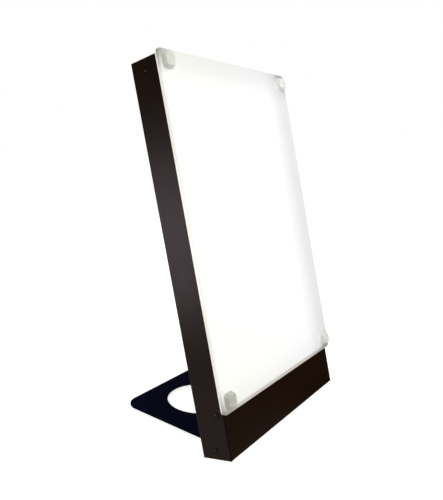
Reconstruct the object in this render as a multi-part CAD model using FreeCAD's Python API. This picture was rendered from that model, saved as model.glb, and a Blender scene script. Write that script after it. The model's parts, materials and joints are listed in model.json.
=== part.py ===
import FreeCAD, Part
import math
import os

from FreeCAD import Placement, Rotation, Vector

# A light therapy lamp: a leaning sheet-steel housing with a lit front panel, on a fold-out foot plate.
# Millimetres, +Z up, the table at z = 0, +Y towards the back, the lit face looks towards -Y.
# The housing is drawn upright in its own frame (back face at y = 0, bottom at z = 0) and then leant back.

# Housing
housing_height = 546.0
housing_width = 315.0
housing_depth = 49.0
lean_degrees = 15.4
edge_above_foot = 17.2
sheet = 1.2
bend_radius = 1.6
bend_relief = 1.0
seam_gap = 0.3
return_width = 21.0
vent_width = 3.0
vent_length = 26.0
vent_end_radius = 1.47
vent_pitch = 9.0
vents_in_row = 15
top_vent_below_top = 30.0
bottom_vent_height = 108.0

# Lower cover and top cap
cover_height = 74.0
cover_lip = 14.0
tab_height = 18.0
cover_low_screw_height = 12.3
cover_low_screw_depth = 24.3
cover_high_screw_height = 63.0
cover_high_screw_depth = 12.2
cap_screw_below_top = 15.0
cap_screw_depth = 24.2
cap_flange = 14.0
tab_width = 16.0

# Pan-head screws of the sheet metal
screw_shank_radius = 1.7
screw_head_radius = 3.4
screw_head_height = 2.0
screw_length = 7.0
screw_dome_share = 0.7
hole_clearance = 0.15

# Front panels and their corner bumpers
panel_overhang = 4.5
panel_bottom = 64.3
filter_thickness = 2.0
diffuser_thickness = 4.0
panel_corner_radius = 6.0
panel_bevel = 0.8
bumper_from_side = 10.5
bumper_low_height = 82.0
bumper_high_below_top = 11.5
bumper_size = 21.0
bumper_top_size = 16.0
bumper_height = 7.0
bumper_corner_radius = 5.5
bumper_rim_radius = 1.8
panel_screw_shank_radius = 2.0
panel_screw_head_radius = 3.6
panel_screw_head_height = 2.3
panel_screw_length = 11.0

# Reflector, lamps, holders
lamp_count = 3
lamp_pitch = 88.0
lamp_axis_depth = 22.0
tube_radius = 8.75
tube_spacing = 21.5
tube_top_gap = 44.5
tube_wall = 0.9
bridge_radius = 4.375
bridge_below_tube_top = 19.25
lamp_base_width = 43.0
lamp_base_depth = 23.0
lamp_base_height = 28.0
lamp_base_corner = 6.0
lamp_pin_radius = 1.2
lamp_pin_length = 6.5
lamp_pin_pitch = 7.0
holder_width = 47.0
holder_depth = 27.0
holder_height = 17.0
holder_corner = 4.0
holder_socket_depth = 9.0
fit_gap = 0.3
shelf_flange = 12.0
shelf_end_gap = 1.0
shelf_front_gap = 3.0
shelf_slot_width = 18.0
shelf_slot_depth = 10.0
holder_shelf_height = 86.0
reflector_thickness = 0.8
trough_width = 86.0
trough_rise = 19.0
reflector_back_gap = 6.0
reflector_flange = 1.0
clip_strip = 12.0
clip_thickness = 0.8
clip_below_tube_top = 40.0
clip_mouth_margin = 4.0
clip_stem_width = 10.0

# Ballast in the foot of the housing
ballast_length = 200.0
ballast_width = 38.0
ballast_depth = 26.0
ballast_height = 50.0
ballast_ear = 10.0
ballast_ear_below = 4.0
ballast_lift = 2.0
ballast_screw_below_top = 8.0
ballast_bend_radius = 1.5
terminal_length = 14.0
terminal_height = 22.0
terminal_above_middle = 2.0
terminal_from_back = 6.0
terminal_rows = 5
terminal_pitch = 4.0
terminal_hole_radius = 1.3
terminal_hole_depth = 8.0

# Rocker switch and mains inlet on the back
switch_from_side = 19.5
switch_height = 42.0
switch_width = 21.0
switch_length = 28.0
switch_rim = 2.0
switch_corner_radius = 2.0
rim_rounding = 0.8
switch_body_depth = 17.0
rocker_width = 14.0
rocker_radius = 9.0
rocker_lift = 0.5
rocker_face_rise = 1.4
rocker_tilt = 8.0
rocker_travel = 16.0
inlet_from_side = 20.5
inlet_height = 42.0
inlet_flange_width = 31.0
inlet_flange_height = 24.0
inlet_corner_radius = 2.5
inlet_body_width = 27.0
inlet_body_height = 20.0
inlet_body_depth = 22.0
inlet_recess_width = 24.4
inlet_recess_height = 16.6
inlet_recess_depth = 16.5
inlet_pin_length = 11.0
inlet_corner_cut = 4.5
inlet_pin_spread = 7.0
inlet_pin_rise = 2.0
inlet_pin_width = 2.0
inlet_pin_height = 4.0
inlet_tail = 5.0

# Foot plate with bent-up ears
foot_width = 194.0
foot_reach = 217.5
foot_thickness = 2.5
foot_front_margin = 14.0
foot_corner_radius = 24.0
foot_front_corner_radius = 10.0
foot_bend_radius = 5.0
foot_hole_radius = 54.7
foot_hole_behind = 132.0
ear_half_width = 9.0
ear_back_run = 24.0
foot_relief = 2.0
pad_radius = 9.0
pad_height = 2.0
pad_inset = 20.0

# Hinge between the foot's ears and the housing's brackets
pivot_above_edge = 6.0
bracket_thickness = 2.5
bracket_bend = 4.0
bracket_length = 34.0
bracket_flange = 26.0
bracket_low_screw = 9.5
bracket_high_screw = 25.5
washer_thickness = 1.0
washer_radius = 8.5
stud_radius = 3.0
running_gap = 0.06
nut_radius = 6.0
nut_length = 5.5
knob_radius = 13.0
knob_back_clearance = 1.5
knob_length = 13.0
knob_hub_radius = 9.0
knob_hub_length = 4.0
knob_lobes = 6
knob_lobe_radius = 4.4
knob_lobe_offset = 1.98
knob_rim_radius = 2.6
face_gap = 0.3
hinge_cut = 60.0

X = Vector(1, 0, 0)
Y = Vector(0, 1, 0)
Z = Vector(0, 0, 1)
half_width = housing_width / 2.0
inside_half = half_width - sheet - seam_gap
switch_x = half_width - switch_from_side
switch_body_half = switch_width / 2.0 - switch_rim - seam_gap
inlet_x = inlet_from_side - half_width
ballast_x = (inlet_x + inlet_body_width / 2.0 + switch_x - switch_body_half) / 2.0
ballast_end = ballast_length / 2.0
front_y = -housing_depth
panel_back_y = front_y
panel_mid_y = front_y - filter_thickness
panel_front_y = panel_mid_y - diffuser_thickness
lean = math.radians(lean_degrees)
foot_top = pad_height + foot_thickness
pivot_behind_back = knob_radius + knob_back_clearance
edge_z = foot_top + edge_above_foot
front_reach = (housing_depth - bend_radius) * math.cos(lean) - bend_radius * math.sin(lean) + bend_radius
edge_y = (front_reach - foot_reach) / 2.0
pivot_y = edge_y + pivot_above_edge * math.sin(lean) + pivot_behind_back * math.cos(lean)
pivot_z = edge_z + pivot_above_edge * math.cos(lean) - pivot_behind_back * math.sin(lean)
foot_outer = foot_width / 2.0
foot_inner = foot_outer - foot_thickness
bracket_outer = foot_inner - washer_thickness
bracket_inner = bracket_outer - bracket_thickness

parts = {}


def block(x0, x1, y0, y1, z0, z1):
    """A box between two corners."""
    return Part.makeBox(x1 - x0, y1 - y0, z1 - z0, Vector(x0, y0, z0))


def edges_along(shape, direction):
    """The straight edges of a shape that run along a direction."""
    chosen = []
    for edge in shape.Edges:
        if isinstance(edge.Curve, Part.Line) and abs(edge.Curve.Direction.dot(direction)) > 0.999:
            chosen.append(edge)
    return chosen


def round_edges(shape, radius, direction, keep=None):
    """Round the edges along a direction, or only those whose middle passes the keep test."""
    edges = edges_along(shape, direction)
    if keep:
        edges = [edge for edge in edges if keep(edge.CenterOfMass)]
    return shape.makeFillet(radius, edges)


def folded_box(x0, x1, y0, y1, z0, z1, radius, direction, keep=None):
    """A box with bend radii on its edges along one direction."""
    return round_edges(block(x0, x1, y0, y1, z0, z1), radius, direction, keep)


def cylinder(radius, length, start, direction):
    """A round bar from a point along a direction."""
    return Part.makeCylinder(radius, length, start, direction)


def rounded_rectangle(width, height, radius, centre, across, up):
    """A closed wire: a rectangle with round corners in the plane of two directions."""
    a = width / 2.0
    b = height / 2.0
    k = radius * (1.0 - math.sqrt(0.5))

    def at(u, v):
        return centre + across * u + up * v

    return Part.Wire([
        Part.makeLine(at(-a + radius, -b), at(a - radius, -b)),
        Part.Arc(at(a - radius, -b), at(a - k, -b + k), at(a, -b + radius)).toShape(),
        Part.makeLine(at(a, -b + radius), at(a, b - radius)),
        Part.Arc(at(a, b - radius), at(a - k, b - k), at(a - radius, b)).toShape(),
        Part.makeLine(at(a - radius, b), at(-a + radius, b)),
        Part.Arc(at(-a + radius, b), at(-a + k, b - k), at(-a, b - radius)).toShape(),
        Part.makeLine(at(-a, b - radius), at(-a, -b + radius)),
        Part.Arc(at(-a, -b + radius), at(-a + k, -b + k), at(-a + radius, -b)).toShape(),
    ])


def mirrored(shape):
    """The same piece on the other side of the lamp."""
    return shape.mirror(Vector(0, 0, 0), X)


def pan_screw(seat, outward, shank_radius, head_radius, head_height, length):
    """A domed screw whose head sits on a surface at a point."""
    dome_height = head_height * screw_dome_share
    dome_radius = (head_radius ** 2 + dome_height ** 2) / (2.0 * dome_height)
    dome = Part.makeSphere(dome_radius, Vector(0, 0, head_height - dome_radius))
    head = Part.makeCylinder(head_radius, head_height).common(dome)
    shank = Part.makeCylinder(shank_radius, length + head_height / 2.0, Vector(0, 0, -length))
    screw = head.fuse(shank)
    screw.Placement = Placement(seat, Rotation(Z, outward))
    return screw


def sheet_screw(seat, outward):
    """One of the screws of the sheet metal."""
    return pan_screw(seat, outward, screw_shank_radius, screw_head_radius, screw_head_height, screw_length)


def screw_hole(seat, outward):
    """The hole for a sheet-metal screw, right through what it passes."""
    radius = screw_shank_radius + hole_clearance
    return cylinder(radius, screw_length * 2.0, seat - outward * screw_length, outward)


def bent_flap(width, height, thickness, radius, relief):
    """A flap bent up at x = 0 from a plate that lies on z = 0 towards -X; it is as wide as y runs."""
    reach = radius + relief

    def is_bend(point):
        return point.x > -thickness * 1.01 and point.z < thickness * 1.01

    outer = folded_box(-reach, 0, 0, width, 0, height, radius, Y, is_bend)
    inner = folded_box(-reach - height, -thickness, -1, width + 1, thickness, height * 2, radius - thickness, Y,
                       is_bend)
    return outer.cut(inner)


def placed(shape, origin, x_direction, z_direction):
    """Put a piece down with its own x and z axes along two given directions."""
    y_direction = z_direction.cross(x_direction)
    shape.Placement = Placement(origin, Rotation(x_direction, y_direction, z_direction, "XZY"))
    return shape


def leant(shape):
    """Lean a housing piece back and lift it to its place over the foot."""
    moved = shape.copy()
    moved.rotate(Vector(0, 0, 0), X, -lean_degrees)
    moved.translate(Vector(0, edge_y, edge_z))
    return moved


def on_housing(name, shape):
    parts[name] = leant(shape)


def side_screw_seats():
    """The screw places on the left side: two of the lower cover and one of the top cap."""
    return [
        Vector(-half_width, front_y + cover_low_screw_depth, cover_low_screw_height),
        Vector(-half_width, front_y + cover_high_screw_depth, cover_high_screw_height),
        Vector(-half_width, front_y + cap_screw_depth, housing_height - cap_screw_below_top),
    ]


def bumper_centres():
    """The four corner bumpers' places, which are also the panel screws' places."""
    x = half_width - bumper_from_side
    centres = []
    for side in (-1, 1):
        for z in (bumper_low_height, housing_height - bumper_high_below_top):
            centres.append((side * x, z))
    return centres


def bracket_screw_seats():
    """Screws that hold the right hinge bracket to the back; the left ones mirror them."""
    x = bracket_inner - bracket_flange / 2.0
    return [Vector(x, bracket_thickness, z) for z in (bracket_low_screw, bracket_high_screw)]


def vents(height):
    """A row of upright slots through the back."""
    cuts = []
    for index in range(vents_in_row):
        x = (index - (vents_in_row - 1) / 2.0) * vent_pitch
        slot = rounded_rectangle(vent_width, vent_length, vent_end_radius, Vector(x, 1, height), X, Z)
        cuts.append(Part.Face(slot).extrude(Y * (-sheet - 2)))
    return Part.makeCompound(cuts)


def rear_tray():
    """Back, sides and front returns folded from one sheet; the returns stop above the lower cover."""

    def section(z0, z1, front_bends):
        def bends(point):
            return front_bends or point.y > front_y / 2.0

        outer = folded_box(-half_width, half_width, front_y, 0, z0, z1, bend_radius, Z, bends)
        inside = half_width - sheet
        hollow = folded_box(-inside, inside, front_y + sheet, -sheet, z0 - 1, z1 + 1,
                            bend_radius - sheet, Z, bends)
        opening_half = half_width - return_width
        if not front_bends:
            opening_half = inside
        opening = block(-opening_half, opening_half, front_y - 1, front_y / 2.0, z0 - 1, z1 + 1)
        return outer.cut(hollow).cut(opening)

    returns_start = cover_height + seam_gap
    tray = section(0, returns_start, False).fuse(section(returns_start, housing_height, True))
    cuts = [vents(housing_height - top_vent_below_top), vents(bottom_vent_height)]
    cuts.append(block(switch_x - switch_width / 2.0 + switch_rim, switch_x + switch_width / 2.0 - switch_rim,
                      -sheet - 1, 1, switch_height - switch_length / 2.0 + switch_rim,
                      switch_height + switch_length / 2.0 - switch_rim))
    body_half = inlet_body_width / 2.0 + seam_gap
    body_rise = inlet_body_height / 2.0 + seam_gap
    cuts.append(block(inlet_x - body_half, inlet_x + body_half, -sheet - 1, 1,
                      inlet_height - body_rise, inlet_height + body_rise))
    for seat in side_screw_seats():
        cuts.append(screw_hole(seat, X))
        cuts.append(screw_hole(Vector(-seat.x, seat.y, seat.z), X))
    for seat in bracket_screw_seats():
        cuts.append(screw_hole(seat, Y))
        cuts.append(screw_hole(Vector(-seat.x, seat.y, seat.z), Y))
    for seat in ballast_screw_seats() + shelf_screw_seats():
        cuts.append(screw_hole(seat, Y))
    for x, z in bumper_centres():
        if z > returns_start:
            start = Vector(x, front_y - 1, z)
            cuts.append(cylinder(panel_screw_shank_radius + hole_clearance, sheet + 2, start, Y))
    return tray.cut(cuts).removeSplitter()


def lower_cover():
    """Front and bottom of the foot of the housing, with a top lip and four drilled side tabs."""
    back_y = -bend_radius - seam_gap

    def is_front(point):
        return point.y < front_y / 2.0

    outer = folded_box(-inside_half, inside_half, front_y, back_y, 0, cover_height, bend_radius, X, is_front)
    hollow = folded_box(-half_width, half_width, front_y + sheet, 0, sheet, cover_height - sheet,
                        bend_radius - sheet, X, is_front)
    trim = block(-half_width, half_width, front_y + cover_lip, 0, sheet + 1, cover_height + 1)
    cover = outer.cut(hollow).cut(trim)

    low = side_screw_seats()[0]
    high = side_screw_seats()[1]
    edge_x = inside_half - bend_radius - bend_relief
    return_start = bend_radius + bend_relief
    return_length = cover_height - 2 * return_start
    low_start = low.y - tab_width / 2.0
    low_flap = bent_flap(tab_width, tab_height, sheet, bend_radius, bend_relief)
    low_flap = placed(low_flap, Vector(-inside_half, low_start + tab_width, 0), X * -1, Z)
    low_flap = low_flap.cut(screw_hole(low, X))
    high_flap = bent_flap(return_length, tab_height, sheet, bend_radius, bend_relief)
    high_flap = placed(high_flap, Vector(-inside_half, front_y, return_start), X * -1, Y)
    high_flap = high_flap.cut(screw_hole(high, X))
    slots = [
        block(-half_width, -edge_x, low_start - bend_relief, low_start + tab_width + bend_relief,
              -1, sheet + 1),
        block(-half_width, -edge_x, front_y - 1, front_y + sheet + 1, return_start - bend_relief,
              return_start + return_length + bend_relief),
        block(-half_width, -edge_x, front_y + sheet, 0, cover_height - sheet - 1, cover_height + 1),
    ]
    for slot in slots:
        cover = cover.cut(slot).cut(mirrored(slot))
    for flap in (low_flap, high_flap):
        cover = cover.fuse(flap).fuse(mirrored(flap))
    return cover.removeSplitter()


def top_cap():
    """The plate that closes the top, with a front flange between the returns and two side tabs."""
    z0 = housing_height - cap_flange
    flange_half = half_width - return_width - seam_gap

    def is_front(point):
        return point.y < front_y / 2.0 and point.z > z0 + 1

    outer = folded_box(-flange_half, flange_half, front_y, -bend_radius - seam_gap, z0, housing_height,
                       bend_radius, X, is_front)
    hollow = folded_box(-half_width, half_width, front_y + sheet, 0, z0 - 1, housing_height - sheet,
                        bend_radius - sheet, X, is_front)
    plate = block(-inside_half, inside_half, front_y + bend_radius + seam_gap, -bend_radius - seam_gap,
                  housing_height - sheet, housing_height)
    cap = outer.cut(hollow).fuse(plate)
    seat = side_screw_seats()[2]
    flap = bent_flap(tab_width, tab_height, sheet, bend_radius, bend_relief)
    flap = placed(flap, Vector(-inside_half, seat.y - tab_width / 2.0, housing_height), X * -1, Z * -1)
    flap = flap.cut(screw_hole(seat, X))
    slot = block(-half_width, -inside_half + bend_radius + bend_relief, seat.y - tab_width / 2.0 - bend_relief,
                 seat.y + tab_width / 2.0 + bend_relief, housing_height - sheet - 1, housing_height + 1)
    cap = cap.cut(slot).cut(mirrored(slot))
    return cap.fuse(flap).fuse(mirrored(flap)).removeSplitter()


def side_screws():
    """Six domed screws, three on each side."""
    screws = []
    for seat in side_screw_seats():
        left = sheet_screw(seat, X * -1)
        screws += [left, mirrored(left)]
    return Part.makeCompound(screws)


def front_panel(y_back, thickness, bevel):
    """A rounded panel over the whole front, drilled at its four corners."""
    top = housing_height + panel_overhang
    centre = Vector(0, y_back, (panel_bottom + top) / 2.0)
    outline = rounded_rectangle(housing_width + 2 * panel_overhang, top - panel_bottom, panel_corner_radius,
                                centre, X, Z)
    panel = Part.Face(outline).extrude(Y * -thickness)
    if bevel:
        front_edges = [edge for edge in panel.Edges if abs(edge.CenterOfMass.y - (y_back - thickness)) < 0.01]
        panel = panel.makeChamfer(bevel, front_edges)
    holes = []
    for x, z in bumper_centres():
        start = Vector(x, y_back + 1, z)
        holes.append(cylinder(panel_screw_shank_radius + hole_clearance, thickness + 2, start, Y * -1))
    return panel.cut(holes)


def panel_screws():
    """Four screws that clamp both panels to the housing."""
    screws = []
    for x, z in bumper_centres():
        screws.append(pan_screw(Vector(x, panel_front_y, z), Y * -1, panel_screw_shank_radius,
                                panel_screw_head_radius, panel_screw_head_height, panel_screw_length))
    return Part.makeCompound(screws)


def corner_bumper(x, z):
    """A soft clear block with tapered sides, hollowed over the screw head."""
    base = rounded_rectangle(bumper_size, bumper_size, bumper_corner_radius, Vector(x, panel_front_y, z), X, Z)
    scale = bumper_top_size / bumper_size
    top = rounded_rectangle(bumper_top_size, bumper_top_size, bumper_corner_radius * scale,
                            Vector(x, panel_front_y - bumper_height, z), X, Z)
    body = Part.makeLoft([base, top], True, True)
    rim = [edge for edge in body.Edges if abs(edge.CenterOfMass.y - panel_front_y + bumper_height) < 0.01]
    body = body.makeFillet(bumper_rim_radius, rim)
    pocket = cylinder(panel_screw_head_radius + fit_gap, panel_screw_head_height + fit_gap,
                      Vector(x, panel_front_y, z), Y * -1)
    return body.cut(pocket)


def lamp_places():
    """Each lamp's centre line in x."""
    return [(index - (lamp_count - 1) / 2.0) * lamp_pitch for index in range(lamp_count)]


lamp_y = front_y + lamp_axis_depth
shelf_top = holder_shelf_height + sheet
holder_top = shelf_top + holder_height
lamp_base_bottom = holder_top - holder_socket_depth + fit_gap
tube_bottom = lamp_base_bottom + lamp_base_height
tube_length = housing_height - tube_top_gap - tube_bottom
shelf_front_y = front_y + shelf_front_gap
reflector_back_y = -sheet - reflector_back_gap


def holder_shelf():
    """A folded shelf over the wiring space that carries the lamp holders."""
    width = inside_half - shelf_end_gap

    def is_bend(point):
        return point.y > front_y / 2.0 and point.z > holder_shelf_height - sheet / 2.0

    z0 = holder_shelf_height - shelf_flange
    outer = folded_box(-width, width, shelf_front_y, -sheet, z0, shelf_top, bend_radius, X, is_bend)
    hollow = folded_box(-width - 1, width + 1, shelf_front_y - 1, -2 * sheet, z0 - 1, holder_shelf_height,
                        bend_radius - sheet, X, is_bend)
    shelf = outer.cut(hollow)
    for x in lamp_places():
        slot_half = shelf_slot_width / 2.0
        slot_y = lamp_y - shelf_slot_depth / 2.0
        shelf = shelf.cut(block(x - slot_half, x + slot_half, slot_y, slot_y + shelf_slot_depth,
                                holder_shelf_height - 1, shelf_top + 1))
    for seat in shelf_screw_seats():
        shelf = shelf.cut(screw_hole(seat, Y))
    return shelf


def shelf_screw_seats():
    """Screws from the back into the shelf's rear flange."""
    return [Vector(side * lamp_pitch * 0.5, 0, holder_shelf_height - shelf_flange / 2.0) for side in (-1, 1)]


def ballast_screw_seats():
    """Screws from the back into the ballast's two end ears."""
    reach = ballast_end + ballast_ear / 2.0
    z = ballast_height + ballast_width / 2.0 - ballast_screw_below_top
    return [Vector(ballast_x + side * reach, 0, z) for side in (-1, 1)]


def reflector():
    """Three round troughs side by side, one behind each lamp, with side margins."""
    z0 = shelf_top
    z1 = housing_height - tab_height - sheet
    ridge_y = reflector_back_y - reflector_thickness - trough_rise
    trough_y = reflector_back_y - reflector_thickness
    margin = inside_half - shelf_end_gap

    def run(shift):
        edges = []
        x_start = lamp_places()[0] - trough_width / 2.0
        edges.append(Part.makeLine(Vector(-margin, ridge_y + shift, z0), Vector(x_start, ridge_y + shift, z0)))
        for index, x in enumerate(lamp_places()):
            x0 = x - trough_width / 2.0
            x1 = x + trough_width / 2.0
            arc = Part.Arc(Vector(x0, ridge_y + shift, z0), Vector(x, trough_y + shift, z0),
                           Vector(x1, ridge_y + shift, z0))
            edges.append(arc.toShape())
            x_next = margin if index == lamp_count - 1 else lamp_places()[index + 1] - trough_width / 2.0
            edges.append(Part.makeLine(Vector(x1, ridge_y + shift, z0), Vector(x_next, ridge_y + shift, z0)))
        return edges

    front = run(0)
    back = run(reflector_thickness)
    ends = [Part.makeLine(Vector(side * margin, ridge_y, z0),
                          Vector(side * margin, ridge_y + reflector_thickness, z0)) for side in (-1, 1)]
    outline = Part.Wire(Part.__sortEdges__(front + back + ends))
    sheet_body = Part.Face(outline).extrude(Z * (z1 - z0))
    for side in (-1, 1):
        x0 = side * (margin - reflector_flange)
        x1 = side * margin
        flange = block(min(x0, x1), max(x0, x1), ridge_y, -sheet, z0, z1)
        sheet_body = sheet_body.fuse(flange)
    for x in lamp_places():
        notch = block(x - holder_width / 2.0 - 1, x + holder_width / 2.0 + 1, lamp_y - holder_depth, 0,
                      z0 - 1, holder_top + 2)
        sheet_body = sheet_body.cut(notch)
    return sheet_body


def twin_tube(x):
    """Two parallel glass tubes with round ends, bridged near the top."""
    tubes = []
    hollows = []
    for side in (-1, 1):
        centre = Vector(x + side * tube_spacing / 2.0, lamp_y, tube_bottom)
        body = cylinder(tube_radius, tube_length - tube_radius, centre, Z)
        cap = Part.makeSphere(tube_radius, centre + Z * (tube_length - tube_radius))
        tubes.append(body.fuse(cap))
        hollow_start = centre + Z * tube_wall
        hollows.append(cylinder(tube_radius - tube_wall, tube_length - 2 * tube_radius, hollow_start, Z))
    bridge_z = tube_bottom + tube_length - bridge_below_tube_top
    bridge = cylinder(bridge_radius, tube_spacing, Vector(x - tube_spacing / 2.0, lamp_y, bridge_z), X)
    return tubes[0].fuse([tubes[1], bridge]).cut(hollows)


def pin_columns():
    """The four contact pins in a row, from the middle of the lamp."""
    return [lamp_pin_pitch * step for step in (-1.5, -0.5, 0.5, 1.5)]


def lamp_base(x):
    """The moulded base that joins both tube ends, with four contact pins below."""
    outline = rounded_rectangle(lamp_base_width, lamp_base_depth, lamp_base_corner,
                                Vector(x, lamp_y, lamp_base_bottom), X, Y)
    body = Part.Face(outline).extrude(Z * lamp_base_height)
    pins = []
    for column in pin_columns():
        pins.append(cylinder(lamp_pin_radius, lamp_pin_length + 1.0,
                             Vector(x + column, lamp_y, lamp_base_bottom - lamp_pin_length), Z))
    return body.fuse(pins)


def lamp_holder(x):
    """The socket block on the shelf that the lamp base pushes into."""
    outline = rounded_rectangle(holder_width, holder_depth, holder_corner,
                                Vector(x, lamp_y, shelf_top), X, Y)
    body = Part.Face(outline).extrude(Z * holder_height)
    socket = rounded_rectangle(lamp_base_width + 2 * fit_gap, lamp_base_depth + 2 * fit_gap,
                               lamp_base_corner + fit_gap,
                               Vector(x, lamp_y, holder_top - holder_socket_depth), X, Y)
    body = body.cut(Part.Face(socket).extrude(Z * (holder_socket_depth + 1)))
    for column in pin_columns():
        body = body.cut(cylinder(lamp_pin_radius + fit_gap, holder_height + 2,
                                 Vector(x + column, lamp_y, shelf_top - 1), Z))
    return body


def lamp_clip(x):
    """A spring strip round both tubes, open at the front, on a short stem from the reflector."""
    z = tube_bottom + tube_length - clip_below_tube_top
    gap = tube_radius + fit_gap
    inner = rounded_rectangle(tube_spacing + 2 * gap, 2 * gap, gap * 0.98, Vector(x, lamp_y, z), X, Y)
    outer_half = gap + clip_thickness
    outer = rounded_rectangle(tube_spacing + 2 * outer_half, 2 * outer_half, outer_half * 0.98,
                              Vector(x, lamp_y, z), X, Y)
    ring = Part.Face(outer).extrude(Z * clip_strip).cut(Part.Face(inner).extrude(Z * clip_strip))
    mouth_half = tube_spacing / 2.0 + clip_mouth_margin
    mouth = block(x - mouth_half, x + mouth_half, lamp_y - outer_half - 1, lamp_y, z - 1, z + clip_strip + 1)
    stem_back = reflector_back_y - reflector_thickness
    stem_half = clip_stem_width / 2.0
    stem = block(x - stem_half, x + stem_half, lamp_y + gap, stem_back, z, z + clip_strip)
    trough = cylinder(trough_radius(), clip_strip + 2, Vector(x, stem_back - trough_radius(), z - 1), Z)
    return ring.cut(mouth).fuse(stem).common(trough)


def trough_radius():
    """The radius of the arc across one reflector trough."""
    half = trough_width / 2.0
    return (half * half + trough_rise * trough_rise) / (2.0 * trough_rise)


def ballast_recess(side, reach, front):
    """The space in one end of the ballast that its terminal block fills."""
    x0 = ballast_x + side * reach
    x1 = ballast_x + side * (ballast_end - terminal_length)
    z0 = ballast_height + terminal_above_middle - terminal_height / 2.0
    y1 = -sheet - terminal_from_back
    return block(min(x0, x1), max(x0, x1), front, y1, z0, z0 + terminal_height)


def ballast_case():
    """A folded steel case with an ear at each end."""
    back = -sheet
    z0 = ballast_height - ballast_width / 2.0
    z1 = ballast_height + ballast_width / 2.0
    body = folded_box(ballast_x - ballast_end, ballast_x + ballast_end, back - ballast_depth, back,
                      z0 + ballast_lift, z1 + ballast_lift, ballast_bend_radius, X)
    reach = ballast_end + ballast_ear
    case = body.fuse(block(ballast_x - reach, ballast_x + reach, back - sheet, back,
                           ballast_height - ballast_ear_below, z1))
    for side in (-1, 1):
        case = case.cut(ballast_recess(side, ballast_end, back - ballast_depth - 1))
    for seat in ballast_screw_seats():
        case = case.cut(screw_hole(seat, Y))
    return case


def ballast_terminals():
    """A push-in terminal block in each end of the ballast."""
    blocks = []
    front = -sheet - ballast_depth
    first = ballast_height + terminal_above_middle - terminal_pitch * (terminal_rows - 1) / 2.0
    for side in (-1, 1):
        body = ballast_recess(side, ballast_end - fit_gap, front)
        for row in range(terminal_rows):
            z = first + row * terminal_pitch
            mouth = Vector(ballast_x + side * ballast_end, front + ballast_depth / 2.0, z)
            body = body.cut(cylinder(terminal_hole_radius, terminal_hole_depth, mouth, X * -side))
        blocks.append(body)
    return Part.makeCompound(blocks)


def back_screws():
    """Screws through the back: into the ballast ears and the holder shelf."""
    return Part.makeCompound([sheet_screw(seat, Y) for seat in ballast_screw_seats() + shelf_screw_seats()])


rocker_pivot_y = switch_rim + rocker_lift


def switch_bezel():
    """The rectangular rim and body of the rocker switch, hollowed for the rocker."""
    rim = rounded_rectangle(switch_width, switch_length, switch_corner_radius,
                            Vector(switch_x, 0, switch_height), X, Z)
    body = Part.Face(rim).extrude(Y * switch_rim)
    top_edges = [edge for edge in body.Edges if abs(edge.CenterOfMass.y - switch_rim) < 0.01]
    body = body.makeFillet(rim_rounding, top_edges)
    rise = switch_length / 2.0 - switch_rim - seam_gap
    body = body.fuse(block(switch_x - switch_body_half, switch_x + switch_body_half, -switch_body_depth,
                           switch_rim / 4.0, switch_height - rise, switch_height + rise))
    clear = rocker_width / 2.0 + fit_gap
    axis = Vector(switch_x - clear, rocker_pivot_y, switch_height)
    hollow = cylinder(rocker_radius + fit_gap, 2 * clear, axis, X)
    return body.cut(hollow)


def switch_rocker():
    """A rocker with a shallow V face, pivoted across the switch and resting with its top end pressed."""
    wide = rocker_width / 2.0
    body = cylinder(rocker_radius, 2 * wide, Vector(switch_x - wide, rocker_pivot_y, switch_height), X)
    reach = 2 * rocker_radius
    for side in (-1, 1):
        wedge = block(switch_x - wide - 1, switch_x + wide + 1, 0, reach, -reach if side < 0 else 0,
                      0 if side < 0 else reach)
        wedge.rotate(Vector(0, 0, 0), X, side * -rocker_tilt)
        wedge.translate(Vector(0, rocker_pivot_y + rocker_face_rise, switch_height))
        body = body.cut(wedge)
    body.rotate(Vector(switch_x, rocker_pivot_y, switch_height), X, rocker_travel / 2.0)
    return body


def inlet_outline(width, height, y):
    """A rectangle with its two lower corners cut at 45 degrees."""
    a = width / 2.0
    b = height / 2.0
    c = inlet_corner_cut
    points = [(-a + c, -b), (a - c, -b), (a, -b + c), (a, b), (-a, b), (-a, -b + c), (-a + c, -b)]
    return Part.makePolygon([Vector(inlet_x + u, y, inlet_height + v) for u, v in points])


def inlet_body():
    """The three-pin inlet socket: flange, body and an open recess."""
    flange_outline = rounded_rectangle(inlet_flange_width, inlet_flange_height, inlet_corner_radius,
                                       Vector(inlet_x, 0, inlet_height), X, Z)
    flange = Part.Face(flange_outline).extrude(Y * switch_rim)
    outer_edges = [edge for edge in flange.Edges if abs(edge.CenterOfMass.y - switch_rim) < 0.01]
    flange = flange.makeFillet(rim_rounding, outer_edges)
    half = inlet_body_width / 2.0
    rise = inlet_body_height / 2.0
    body = block(inlet_x - half, inlet_x + half, -inlet_body_depth, switch_rim / 4.0,
                 inlet_height - rise, inlet_height + rise)
    recess = Part.Face(inlet_outline(inlet_recess_width, inlet_recess_height, switch_rim + 1))
    recess = recess.extrude(Y * (-inlet_recess_depth - 1))
    socket = flange.fuse(body).cut(recess)
    for u, v in inlet_pin_places():
        socket = socket.cut(inlet_pin(u, v, fit_gap, inlet_body_depth + inlet_tail))
    return socket


def inlet_pin_places():
    """Line, neutral and earth, the earth pin lower."""
    return [
        (-inlet_pin_spread, inlet_pin_rise),
        (inlet_pin_spread, inlet_pin_rise),
        (0.0, -inlet_pin_rise),
    ]


def inlet_pin(u, v, grow, length):
    """One flat pin that stands in the recess and runs out behind the body."""
    tip = switch_rim - inlet_recess_depth + inlet_pin_length
    half = inlet_pin_width / 2.0 + grow
    rise = inlet_pin_height / 2.0 + grow
    return block(inlet_x + u - half, inlet_x + u + half, tip - length, tip,
                 inlet_height + v - rise, inlet_height + v + rise)


def inlet_pins():
    length = inlet_body_depth - inlet_recess_depth + inlet_pin_length + inlet_tail
    return Part.makeCompound([inlet_pin(u, v, 0, length) for u, v in inlet_pin_places()])


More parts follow.
